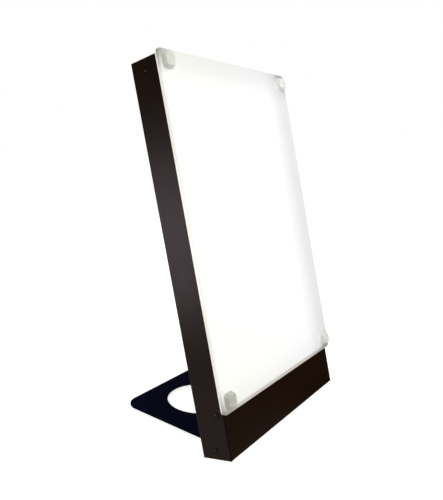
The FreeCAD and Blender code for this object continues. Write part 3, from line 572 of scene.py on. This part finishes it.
def clear_acrylic():
    """The clear panel behind the opal one, which shows as a bright edge."""
    clear, hazy = (0.60, 0.58, 0.52), (0.70, 0.67, 0.61)
    dim, bright = (0.10, 0.09, 0.08), (1.0, 0.94, 0.88)
    made, tree, shader = material("Clear Acrylic", {
        "Roughness": 0.12, "Specular IOR Level": 0.5, "Emission Strength": 0.42,
    })
    place, light = panel_light(tree)
    haze = noise(tree, place, 60.0, detail=3.0)
    wire(tree, tint(tree, haze, clear, hazy), shader["Base Color"])
    level = less(tree, 0.95, times(tree, light["Bottom Edge"], 0.8))
    wire(tree, tint(tree, level, dim, bright), shader["Emission Color"])
    return made


def clear_rubber():
    """Soft clear bumper, slightly green and cloudy, with painted shade at the lower left and a painted glow
    that grows towards the right and top.
    """
    thick, thin = (0.88, 0.90, 0.82), (0.80, 0.82, 0.76)
    cloudy, in_shade = (0.92, 0.93, 0.86), (0.52, 0.52, 0.44)
    painted_glow_colour = (1.0, 1.0, 0.97)
    upper_height = 0.5
    made, tree, shader = material("Clear Bumper", {
        "Transmission Weight": 0.25, "IOR": 1.44, "Specular IOR Level": 0.5, "Emission Strength": 1.0,
    })
    place = housing_place(tree)
    cloud = noise(tree, place, 160.0, detail=3.0, roughness=0.55)
    low, high = node_box("bumper_low_left")
    parts = parts_of(tree, place)
    body = tint(tree, ramp(tree, parts[1], low.y, high.y), thick, thin)
    body = tint(tree, clouded(tree, cloud, 0.3), body, cloudy)
    rightward = ramp(tree, parts[0], low.x, -low.x)
    upward = ramp(tree, parts[2], low.z, upper_height)
    # Painted shade, strongest at the lower left.
    shade = times(tree, less(tree, 1.0, rightward), less(tree, 1.0, upward))
    wire(tree, tint(tree, times(tree, shade, 0.65), body, in_shade), shader["Base Color"])
    # Painted glow: the bumper emits a little light towards the right and top, standing in for the panel's
    # light inside it.
    painted_glow = times(tree, rightward, scaled(tree, upward, 0.07, 0.06))
    wire(tree, tint(tree, painted_glow, BLACK, painted_glow_colour), shader["Emission Color"])
    wire(tree, scaled(tree, cloud, 0.1, 0.24), shader["Roughness"])
    return made


def lamp_glass():
    """Tubes coated white inside, dimmer and browner towards the base."""
    browned, coated = (0.52, 0.45, 0.36), (0.86, 0.87, 0.88)
    dim, bright = (0.25, 0.18, 0.11), (0.92, 0.96, 1.0)
    browned_length = 0.03
    made, tree, shader = material("Coated Lamp Glass", {
        "Roughness": 0.18, "Coat Weight": 0.4, "Emission Strength": 1.0,
    })
    bottom = node_box("twin_tube_1")[0].z
    height = parts_of(tree, housing_place(tree))[2]
    clean = ramp(tree, height, bottom, bottom + browned_length)
    wire(tree, tint(tree, clean, browned, coated), shader["Base Color"])
    wire(tree, tint(tree, clean, dim, bright), shader["Emission Color"])
    return made


def sign_paint():
    """White print on the rocker."""
    fresh, grubby = (0.80, 0.80, 0.78), (0.55, 0.55, 0.53)
    made, tree, shader = material("Sign Paint", {"Roughness": 0.5})
    worn = handled(tree, object_place(tree), size=0.002, cover=0.4)
    wire(tree, tint(tree, worn, fresh, grubby), shader["Base Color"])
    return made


def assign(node, made):
    """Give a CAD node a finish in every one of its slots."""
    slots = frame["nodes"][node].material_slots
    if not slots:
        mesh_of(node).materials.append(made)
    for slot in slots:
        slot.material = made


# Pieces

def placed(name, data):
    """A new object in the scene."""
    made = bpy.data.objects.new(name, data)
    bpy.context.scene.collection.objects.link(made)
    return made


def new_piece(name, mesh, body, slot_name, *replaced):
    """Put a finished mesh on a body of the frame."""
    piece = placed(name, mesh)
    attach(piece, body)
    if replaced:
        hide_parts(*replaced)


def seeded_points(name, places):
    """A mesh of loose points, each with the direction that its piece stands out in."""
    mesh = bpy.data.meshes.new(name)
    mesh.from_pydata([place for place, outward in places], [], [])
    directions = mesh.attributes.new("outward", "FLOAT_VECTOR", "POINT")
    for index, (place, outward) in enumerate(places):
        directions.data[index].vector = outward
    return mesh


def grown(tree, mesh, values):
    """Run a geometry tree on a mesh and return the plain mesh that it makes."""
    carrier = placed("Carrier", mesh)
    modifier = carrier.modifiers.new("Growth", "NODES")
    modifier.node_group = tree
    for item in tree.interface.items_tree:
        if item.item_type == "SOCKET" and item.in_out == "INPUT" and item.name in values:
            modifier[item.identifier] = values[item.name]
    bpy.context.view_layer.update()
    depsgraph = bpy.context.evaluated_depsgraph_get()
    result = bpy.data.meshes.new_from_object(carrier.evaluated_get(depsgraph), depsgraph=depsgraph)
    carrier.modifiers.clear()
    bpy.data.objects.remove(carrier)
    if not result.polygons:
        raise RuntimeError(tree.name + " made no faces")
    return result


def moved(tree, geometry, translation=ORIGIN, rotation=ORIGIN):
    """A geometry moved and turned inside a tree."""
    inputs = {"Geometry": geometry, "Translation": translation, "Rotation": rotation}
    return put(tree, "GeometryNodeTransform", inputs).outputs[0]


def bar(tree, vertices, radius, depth, top):
    """A round bar that hangs down from a height."""
    inputs = {"Vertices": vertices, "Radius": radius, "Depth": depth}
    shape = put(tree, "GeometryNodeMeshCylinder", inputs).outputs[0]
    return moved(tree, shape, vector(tree, z=scaled(tree, depth, -0.5, top)))


def circle(tree, resolution, radius):
    """A flat round curve."""
    inputs = {"Resolution": resolution, "Radius": radius}
    return put(tree, "GeometryNodeCurvePrimitiveCircle", inputs).outputs[0]


def swept(tree, path, section, capped=False):
    """A section swept along a path."""
    inputs = {"Curve": path, "Profile Curve": section, "Fill Caps": capped}
    return put(tree, "GeometryNodeCurveToMesh", inputs).outputs[0]


def combine(tree, operation, first, second):
    """Cut, join or keep what two solids share."""
    node = put(tree, "GeometryNodeMeshBoolean", operation=operation, solver="EXACT")
    tree.links.new(first, node.inputs["Mesh 1" if operation == "DIFFERENCE" else "Mesh 2"])
    tree.links.new(second, node.inputs["Mesh 2"])
    return node.outputs[0]


def together(tree, first, second):
    """Two geometries as one."""
    node = tree.nodes.new("GeometryNodeJoinGeometry")
    tree.links.new(first, node.inputs[0])
    tree.links.new(second, node.inputs[0])
    return node.outputs[0]


def on_points(tree, given, shape, spin=None):
    """Stand a shape on every point along its outward direction, turned about it by a spin."""
    attribute = put(tree, "GeometryNodeInputNamedAttribute", {"Name": "outward"}, data_type="FLOAT_VECTOR")
    outward = attribute.outputs[0]
    turn = put(tree, "FunctionNodeAlignRotationToVector", {"Vector": outward}, axis="Z").outputs[0]
    if spin is not None:
        about = put(tree, "FunctionNodeAxisAngleToRotation", {"Axis": (0.0, 0.0, 1.0), "Angle": spin})
        turn = put(tree, "FunctionNodeRotateRotation", {0: turn, 1: about.outputs[0]},
                   rotation_space="LOCAL").outputs[0]
    inputs = {"Points": given["Geometry"], "Instance": shape, "Rotation": turn}
    instances = put(tree, "GeometryNodeInstanceOnPoints", inputs).outputs[0]
    return put(tree, "GeometryNodeRealizeInstances", {0: instances}).outputs[0]


def smoothed(tree, geometry, sharp_degrees=32.0):
    """Smooth shading that breaks at sharp edges."""
    angle = put(tree, "GeometryNodeInputMeshEdgeAngle").outputs[0]
    sharp = put(tree, "FunctionNodeCompare", {0: angle, 1: math.radians(sharp_degrees)}, data_type="FLOAT",
                operation="GREATER_THAN").outputs[0]
    faces = put(tree, "GeometryNodeSetShadeSmooth", {"Geometry": geometry, "Shade Smooth": True}).outputs[0]
    inputs = {"Geometry": faces, "Selection": sharp, "Shade Smooth": False}
    return put(tree, "GeometryNodeSetShadeSmooth", inputs, domain="EDGE").outputs[0]


def finished(tree, geometry, given, result):
    """The end of every geometry tree: real faces with their finish."""
    real = put(tree, "GeometryNodeRealizeInstances", {0: geometry}).outputs[0]
    painted = put(tree, "GeometryNodeSetMaterial", {"Geometry": real, "Material": given["Finish"]}).outputs[0]
    wire(tree, painted, result["Geometry"])


def screw_tree():
    """Domed screws with a cross recess, one on every point."""
    labels = ("Geometry", "Head Radius", "Head Height", "Rim Height", "Shank Radius", "Shank Length",
              "Recess Width", "Recess Slot", "Recess Depth", "Seed", "Finish")
    tree, given, result = new_tree("Recessed Screws", GEOMETRY_TREE, labels, ("Geometry",))
    quarter_turn = math.pi / 2.0
    head_sides, shank_sides, dome_rings = 36, 20, 48
    radius = given["Head Radius"]
    rise = less(tree, given["Head Height"], given["Rim Height"])
    squares = plus(tree, times(tree, radius, radius), times(tree, rise, rise))
    dome_radius = over(tree, squares, times(tree, rise, 2.0))
    inputs = {"Segments": head_sides, "Rings": dome_rings, "Radius": dome_radius}
    ball = put(tree, "GeometryNodeMeshUVSphere", inputs).outputs[0]
    ball = moved(tree, ball, vector(tree, z=times(tree, dome_radius, -1.0)))
    head = combine(tree, "INTERSECT", bar(tree, head_sides, radius, given["Head Height"], 0.0), ball)
    arm_height = times(tree, given["Recess Depth"], 2.0)
    for turn in (0.0, quarter_turn):
        size = vector(tree, given["Recess Width"], given["Recess Slot"], arm_height)
        arm = put(tree, "GeometryNodeMeshCube", {"Size": size}).outputs[0]
        head = combine(tree, "DIFFERENCE", head, moved(tree, arm, rotation=(0.0, 0.0, turn)))
    overlap = times(tree, given["Head Height"], 0.5)
    top = less(tree, overlap, given["Head Height"])
    shank_length = plus(tree, given["Shank Length"], overlap)
    shank = bar(tree, shank_sides, given["Shank Radius"], shank_length, top)
    screw = smoothed(tree, combine(tree, "UNION", head, shank))
    spin = put(tree, "FunctionNodeRandomValue", {2: 0.0, 3: quarter_turn, "Seed": given["Seed"]},
               data_type="FLOAT").outputs[1]
    finished(tree, on_points(tree, given, screw, spin), given, result)
    return tree


def thread_tree():
    """A threaded stud, from its point back along its outward direction."""
    labels = ("Geometry", "Radius", "Length", "Pitch", "Thread Depth", "Finish")
    tree, given, result = new_tree("Threaded Stud", GEOMETRY_TREE, labels, ("Geometry",))
    core_sides, steps_in_a_turn, ridge_sides = 32, 24, 4
    root = less(tree, given["Radius"], given["Thread Depth"])
    core = bar(tree, core_sides, root, given["Length"], 0.0)
    run = less(tree, given["Length"], given["Pitch"])
    helix = put(tree, "GeometryNodeCurveSpiral", {
        "Resolution": steps_in_a_turn, "Rotations": over(tree, run, given["Pitch"]), "Start Radius": root,
        "End Radius": root, "Height": run,
    }).outputs[0]
    start = scaled(tree, given["Length"], -1.0, times(tree, given["Pitch"], 0.5))
    helix = moved(tree, helix, vector(tree, z=start))
    thread = swept(tree, helix, circle(tree, ridge_sides, given["Thread Depth"]), capped=True)
    stud = smoothed(tree, together(tree, core, thread))
    finished(tree, on_points(tree, given, stud), given, result)
    return tree


def cap_tree():
    """A low round cap with concentric rings, one on every point."""
    labels = ("Geometry", "Radius", "Height", "Ring", "Rings", "Finish")
    tree, given, result = new_tree("Ringed Caps", GEOMETRY_TREE, labels, ("Geometry",))
    sides, ring_sides = 48, 8
    edge_share = 0.35
    sharp_degrees = 50.0
    plate = bar(tree, sides, given["Radius"], times(tree, given["Height"], 2.0), given["Height"])
    line = put(tree, "GeometryNodeMeshLine", {"Count": given["Rings"], "Offset": ORIGIN}).outputs[0]
    outline = circle(tree, sides, given["Radius"])
    index = tree.nodes.new("GeometryNodeInputIndex").outputs[0]
    share = over(tree, plus(tree, index, 1.0), plus(tree, given["Rings"], edge_share))
    inputs = {"Points": line, "Instance": outline, "Scale": vector(tree, share, share, 1.0)}
    rings = put(tree, "GeometryNodeInstanceOnPoints", inputs).outputs[0]
    rings = put(tree, "GeometryNodeRealizeInstances", {0: rings}).outputs[0]
    rings = swept(tree, rings, circle(tree, ring_sides, given["Ring"]))
    rings = moved(tree, rings, vector(tree, z=given["Height"]))
    cap = smoothed(tree, together(tree, plate, rings), sharp_degrees)
    finished(tree, on_points(tree, given, cap), given, result)
    return tree


ACROSS = 0
TO_BACK = 1
AWAY_FROM_MIDDLE = 0.0
SHEET_SCREW = {"head_height": 0.0020, "shank_radius": 0.0017}
PANEL_SCREW = {"head_height": 0.0023, "shank_radius": 0.0020}
SCREW_GROUPS = (
    ("side_screws", ACROSS, AWAY_FROM_MIDDLE, SHEET_SCREW),
    ("back_screws", TO_BACK, 1.0, SHEET_SCREW),
    ("bracket_screws", TO_BACK, 1.0, SHEET_SCREW),
    ("panel_screws", TO_BACK, -1.0, PANEL_SCREW),
)


def make_screws(tree, node, axis, way, head_height, shank_radius):
    """Replace a CAD group of screws by domed screws with cross recesses."""
    sizes = bpy.context.scene.lamp_screws
    boxes = solids_of(node)
    places = []
    for low, high in boxes:
        top = (low + high) / 2.0
        sign = way or math.copysign(1.0, top[axis])
        top[axis] = high[axis] if sign > 0 else low[axis]
        outward = Vector((0.0, 0.0, 0.0))
        outward[axis] = sign
        places.append((HOUSING @ top, HOUSING.to_3x3() @ outward))
    low, high = boxes[0]
    radius = (high.z - low.z) / 2.0
    name = node + "_recessed"
    mesh = grown(tree, seeded_points(name, places), {
        "Head Radius": radius, "Head Height": head_height, "Rim Height": head_height * sizes.rim,
        "Shank Radius": shank_radius, "Shank Length": high[axis] - low[axis] - head_height,
        "Recess Width": radius * sizes.recess_width, "Recess Slot": radius * sizes.recess_slot,
        "Recess Depth": radius * sizes.recess_depth, "Seed": sizes.seed,
        "Finish": bpy.data.materials["Blackened Screw"],
    })
    new_piece(name, mesh, "housing", "screw_black", node)


class LAMP_OT_effects(bpy.types.Operator):
    """Make the effects that several finishes share"""

    bl_idname = "lamp.effects"
    bl_label = "Effects"

    def execute(self, context):
        powder_grain_group()
        handling_group()
        moulded_group()
        brushed_group()
        lit_panel_group()
        return {"FINISHED"}


# Each metal: its slot, its name, its colour, its roughness, and the width of a streak, the length of a
# streak and the size of a handling mark in metres
METALS = (
    ("zinc_steel", "Zinc Plate", (0.62, 0.63, 0.62), 0.32, 0.0005, 0.01, 0.008),
    ("bright_aluminium", "Bright Aluminium", (0.86, 0.87, 0.88), 0.12, 0.0008, 0.12, 0.06),
    ("spring_steel", "Spring Steel", (0.52, 0.52, 0.53), 0.24, 0.0004, 0.02, 0.01),
    ("brass", "Brass", (0.72, 0.55, 0.26), 0.22, 0.0003, 0.004, 0.006),
)
# Each plastic: its slot, its name, its colour, its roughness, and the width and depth of its stipple in
# metres
PLASTICS = (
    ("white_plastic", "White Plastic", (0.74, 0.74, 0.71), 0.38, 0.0006, 0.00002),
    ("black_plastic", "Black Plastic", (0.013, 0.013, 0.014), 0.42, 0.0006, 0.00004),
    ("rocker_plastic", "Rocker Plastic", (0.018, 0.018, 0.019), 0.26, 0.0010, 0.00001),
)


class LAMP_OT_finishes(bpy.types.Operator):
    """Make every finish and give it to the CAD nodes that have it"""

    bl_idname = "lamp.finishes"
    bl_label = "Finishes"

    def execute(self, context):
        paint = context.scene.lamp_paint
        finishes = {
            "housing_paint": powder_coat("Housing Powder Coat", paint.housing, specular=0.2, gloss=0.39,
                                         shine=(1.0, 0.86, 1.0), shaded=painted_seam_and_ring_shade),
            "foot_paint": powder_coat("Foot Powder Coat", paint.foot, specular=0.05, gloss=0.42),
            "screw_black": blackened_screw(),
            "rubber": rubber(),
            "opal_acrylic": opal_acrylic(),
            "clear_acrylic": clear_acrylic(),
            "clear_bumper": clear_rubber(),
            "lamp_glass": lamp_glass(),
        }
        for slot_name, *looks in METALS:
            finishes[slot_name] = bare_metal(*looks)
        for slot_name, *looks in PLASTICS:
            finishes[slot_name] = plastic(*looks)
        sign_paint()
        for part in frame["record"]["subparts"]:
            assign(part["node"], finishes[part["material_slot"]])
        return {"FINISHED"}


class LAMP_OT_screws(bpy.types.Operator):
    """Make the four groups of domed screws"""

    bl_idname = "lamp.screws"
    bl_label = "Screws"

    def execute(self, context):
        tree = screw_tree()
        for node, axis, way, screw in SCREW_GROUPS:
            make_screws(tree, node, axis, way, **screw)
        return {"FINISHED"}


class LAMP_OT_knobs(bpy.types.Operator):
    """Make the threaded studs and the ringed caps of the two tilt knobs"""

    bl_idname = "lamp.knobs"
    bl_label = "Knobs"

    def execute(self, context):
        sizes = context.scene.lamp_small
        studs = thread_tree()
        caps = cap_tree()
        for side, sign in (("left", -1.0), ("right", 1.0)):
            low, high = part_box("knob_stud_" + side)
            middle = (low + high) / 2.0
            inner_end = Vector((low.x if sign > 0 else high.x, middle.y, middle.z))
            stud = grown(studs, seeded_points("stud", [(inner_end, RIGHTWARD * -sign)]), {
                "Radius": (high.z - low.z) / 2.0, "Length": high.x - low.x, "Pitch": sizes.thread_pitch,
                "Thread Depth": sizes.thread_depth, "Finish": bpy.data.materials["Zinc Plate"],
            })
            new_piece("knob_thread_" + side, stud, side + "_knob", "zinc_steel", "knob_stud_" + side)
            low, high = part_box("tilt_knob_" + side)
            outer_end = Vector((high.x if sign > 0 else low.x, middle.y, middle.z))
            cap = grown(caps, seeded_points("cap", [(outer_end, RIGHTWARD * sign)]), {
                "Radius": sizes.cap_radius, "Height": 0.0004, "Ring": 0.0003, "Rings": 3,
                "Finish": bpy.data.materials["Rocker Plastic"],
            })
            new_piece("knob_cap_" + side, cap, side + "_knob", "black_plastic")
        return {"FINISHED"}


def laid_on(surface, point, rise):
    """A point of the housing's back, dropped on to the surface behind it and lifted out by a rise."""
    well_clear = 0.05
    start = HOUSING @ Vector((point[0], well_clear, point[1]))
    hit, normal = surface.ray_cast(start, -OUT_OF_BACK)[:2]
    if hit is None:
        raise RuntimeError("a sign misses the rocker")
    return hit + normal * rise


def sign_mesh(surface, outlines, rise):
    """A closed thin shape on the rocker: an outer outline, and an inner one where it is a ring."""
    sunk = 0.00005
    verts = []
    for outline in outlines:
        verts += [laid_on(surface, point, rise) for point in outline]
        verts += [laid_on(surface, point, -sunk) for point in outline]
    count = len(outlines[0])
    solid = len(outlines) == 1
    walls = ((0, 1),) if solid else ((0, 1), (2, 3), (0, 2), (1, 3))
    faces = []
    for index in range(count):
        after = (index + 1) % count
        for first, second in walls:
            start, end = first * count, second * count
            faces.append((start + index, start + after, end + after, end + index))
    if solid:
        faces += [tuple(range(count)), tuple(range(count, 2 * count))]
    mesh = bpy.data.meshes.new("sign")
    mesh.from_pydata(verts, [], faces)
    flesh = bmesh.new()
    flesh.from_mesh(mesh)
    bmesh.ops.recalc_face_normals(flesh, faces=flesh.faces)
    flesh.to_mesh(mesh)
    flesh.free()
    mesh.materials.append(bpy.data.materials["Sign Paint"])
    return mesh


class LAMP_OT_rocker_signs(bpy.types.Operator):
    """Make the on and off signs of the rocker switch"""

    bl_idname = "lamp.rocker_signs"
    bl_label = "Rocker Signs"

    def execute(self, context):
        sizes = context.scene.lamp_small
        rocker = mesh_of("switch_rocker")
        surface = BVHTree.FromPolygons([vertex.co for vertex in rocker.vertices],
                                       [tuple(face.vertices) for face in rocker.polygons])
        low, high = node_box("switch_rocker")
        middle = (low + high) / 2.0
        offset = (high.z - low.z) * 0.27
        half_line = sizes.mark_line / 2.0
        half_height = sizes.mark_height / 2.0
        steps = 40
        turns = [2.0 * math.pi * step / steps for step in range(steps)]
        bar_outline = [(middle.x + across * half_line, middle.z + offset + up * half_height)
                       for across, up in ((-1, -1), (1, -1), (1, 1), (-1, 1))]
        rings = [[(middle.x + radius * math.cos(turn), middle.z - offset + radius * math.sin(turn))
                  for turn in turns] for radius in (half_height, half_height - sizes.mark_line)]
        for name, outlines in (("rocker_sign_on", [bar_outline]), ("rocker_sign_off", rings)):
            new_piece(name, sign_mesh(surface, outlines, sizes.mark_rise), "rocker", "rocker_plastic")
        return {"FINISHED"}


# Stage

def seen_rays(tree):
    """One where a ray comes from the camera or through a clear piece."""
    path = tree.nodes.new("ShaderNodeLightPath").outputs
    return maths(tree, "MAXIMUM", path["Is Camera Ray"], path["Is Transmission Ray"])


def staged_face(name, corners, made):
    """One flat face of the stage, with its finish."""
    mesh = bpy.data.meshes.new(name)
    mesh.from_pydata(corners, [], [tuple(range(len(corners)))])
    mesh.materials.append(made)
    face = placed(name, mesh)
    return face


def make_floor():
    """A pale floor that the eye sees as white, and that keeps the lamp's shadow."""
    sizes = bpy.context.scene.lamp_stage
    reach = 12.0
    made, tree, shader = material("Pale Floor", {
        "Roughness": 0.9, "Specular IOR Level": 0.0, "Base Color": sizes.floor, "Emission Color": WHITE,
    })
    wire(tree, times(tree, seen_rays(tree), sizes.floor_lift), shader["Emission Strength"])
    ring = ((-1, -1), (1, -1), (1, 1), (-1, 1))
    staged_face("floor", [(x * reach, y * reach, 0.0) for x, y in ring], made)


def make_surround():
    """White to the eye, an even light to dull surfaces, and a faint low glow to shiny ones."""
    world = bpy.data.worlds.new("Studio")
    world.use_nodes = True
    bpy.context.scene.world = world
    tree = world.node_tree
    tree.nodes.clear()
    low, high = 0.05, 0.30
    glow_low, glow_high = 0.25, 0.03
    height = parts_of(tree, tree.nodes.new("ShaderNodeTexCoord").outputs["Generated"])[2]
    seen = seen_rays(tree)
    glossy = tree.nodes.new("ShaderNodeLightPath").outputs["Is Glossy Ray"]
    mirrored = times(tree, glossy, ramp(tree, height, low, high, glow_low, glow_high))
    others = less(tree, 1.0, plus(tree, seen, glossy, clamp=True), clamp=True)
    even = times(tree, others, bpy.context.scene.lamp_stage.surround)
    strength = plus(tree, maths(tree, "MAXIMUM", seen, mirrored), even)
    background = put(tree, "ShaderNodeBackground", {"Color": WHITE, "Strength": strength})
    end = tree.nodes.new("ShaderNodeOutputWorld")
    tree.links.new(background.outputs[0], end.inputs["Surface"])


CARD_HEIGHT = 1.6
CARD_LIFT = 0.002
LYING_CARDS = {
    "flag_floor": ((-0.15, -1.4), (1.6, -1.4), (1.6, -0.19), (-0.15, -0.19)),
    "flag_strip": ((0.10, -0.19), (1.6, -0.19), (1.6, -0.134), (0.14, -0.134)),
    "flag_left": ((-3.0, 0.10), (-0.2, 0.10), (-0.2, 3.0), (-3.0, 3.0)),
}
STANDING_CARDS = {
    "flag_upright": ((1.2, -2.6), (2.2, -0.2)),
    "flag_behind": ((-3.0, 0.10), (-0.6, 3.0)),
}


def make_cards():
    """Dark cards that only reflections see."""
    faces = {name: [(x, y, CARD_LIFT) for x, y in corners] for name, corners in LYING_CARDS.items()}
    for name, (start, end) in STANDING_CARDS.items():
        faces[name] = [(*start, 0.0), (*end, 0.0), (*end, CARD_HEIGHT), (*start, CARD_HEIGHT)]
    for name, corners in faces.items():
        constants = {"Roughness": 0.9, "Base Color": BLACK, "Specular IOR Level": 0.0}
        card = staged_face(name, corners, material(name, constants)[0])
        for ray in ("camera", "diffuse", "shadow", "transmission"):
            setattr(card, "visible_" + ray, False)


def area_light(name, place, aim, width, height, power):
    """A soft rectangular light that faces a point."""
    light = bpy.data.lights.new(name, "AREA")
    light.shape = "RECTANGLE"
    light.size = width
    light.size_y = height
    light.energy = power
    lamp = placed(name, light)
    lamp.location = place
    lamp.visible_camera = False
    lamp.rotation_euler = (Vector(aim) - Vector(place)).to_track_quat("-Z", "Y").to_euler()
    return lamp


def make_lights():
    """A large light in front, one behind that makes no highlight, and a low one at the left side."""
    sizes = bpy.context.scene.lamp_stage
    area_light("Front", place=(-0.1, -1.6, 1.6), aim=(0.0, 0.0, 0.2), width=2.0, height=1.6,
               power=sizes.front)
    behind = area_light("Back", place=(0.7, 1.7, 1.1), aim=(0.0, 0.0, 0.25), width=1.4, height=1.2,
                        power=sizes.back)
    behind.visible_glossy = False
    area_light("Low Left", place=(-0.69, 0.40, 0.198), aim=(-0.1575, -0.04, 0.30), width=0.30, height=0.37,
               power=sizes.side)


def make_camera():
    """The camera, to the left of the lit face, a little above its middle, and rolled slightly."""
    place = Vector((-0.6864, -0.47436, 0.4562))
    azimuth, elevation, roll = -54.81, 11.96, 2.31
    matrix = Matrix.Translation(place)
    for degrees, axis in ((azimuth, "Z"), (90.0 - elevation, "X"), (roll, "Z")):
        matrix = matrix @ Matrix.Rotation(math.radians(degrees), 4, axis)
    data = bpy.data.cameras.new("Camera")
    data.lens = bpy.context.scene.lamp_stage.lens
    data.sensor_width = 36.0
    data.clip_end = 100.0
    camera = placed("Camera", data)
    camera.matrix_world = matrix
    bpy.context.scene.camera = camera


class LAMP_OT_stage(bpy.types.Operator):
    """Make the floor, the light all round, the three soft lights and the camera"""

    bl_idname = "lamp.stage"
    bl_label = "Stage"

    def execute(self, context):
        context.scene.view_settings.view_transform = "Standard"
        make_floor()
        make_surround()
        make_lights()
        make_cards()
        make_camera()
        return {"FINISHED"}


class LAMP_PT_panel(bpy.types.Panel):
    """The lamp's pieces and settings"""

    bl_label = "Light Therapy Lamp"
    bl_idname = "LAMP_PT_panel"
    bl_space_type = "VIEW_3D"
    bl_region_type = "UI"
    bl_category = "Lamp"

    def draw(self, context):
        layout = self.layout
        for operator in OPERATORS:
            layout.operator(operator.bl_idname)
        for name in SETTINGS:
            group = getattr(context.scene, name)
            box = layout.box()
            for prop in group.bl_rna.properties:
                if prop.identifier not in ("rna_type", "name"):
                    box.prop(group, prop.identifier)


OPERATORS = (LAMP_OT_effects, LAMP_OT_finishes, LAMP_OT_screws, LAMP_OT_knobs, LAMP_OT_rocker_signs,
             LAMP_OT_stage)
SETTINGS = {
    "lamp_paint": PaintSettings,
    "lamp_glow": GlowSettings,
    "lamp_screws": ScrewSettings,
    "lamp_small": SmallPartSettings,
    "lamp_stage": StageSettings,
}


def register():
    for group in SETTINGS.values():
        bpy.utils.register_class(group)
    for name, group in SETTINGS.items():
        setattr(bpy.types.Scene, name, PointerProperty(type=group))
    for operator in OPERATORS:
        bpy.utils.register_class(operator)
    bpy.utils.register_class(LAMP_PT_panel)


def unregister():
    bpy.utils.unregister_class(LAMP_PT_panel)
    for operator in OPERATORS:
        bpy.utils.unregister_class(operator)
    for name, group in SETTINGS.items():
        delattr(bpy.types.Scene, name)
        bpy.utils.unregister_class(group)


def main():
    register()
    bpy.ops.lamp.effects()
    bpy.ops.lamp.finishes()
    bpy.ops.lamp.screws()
    bpy.ops.lamp.knobs()
    bpy.ops.lamp.rocker_signs()
    bpy.ops.lamp.stage()


if __name__ == "__main__":
    main()
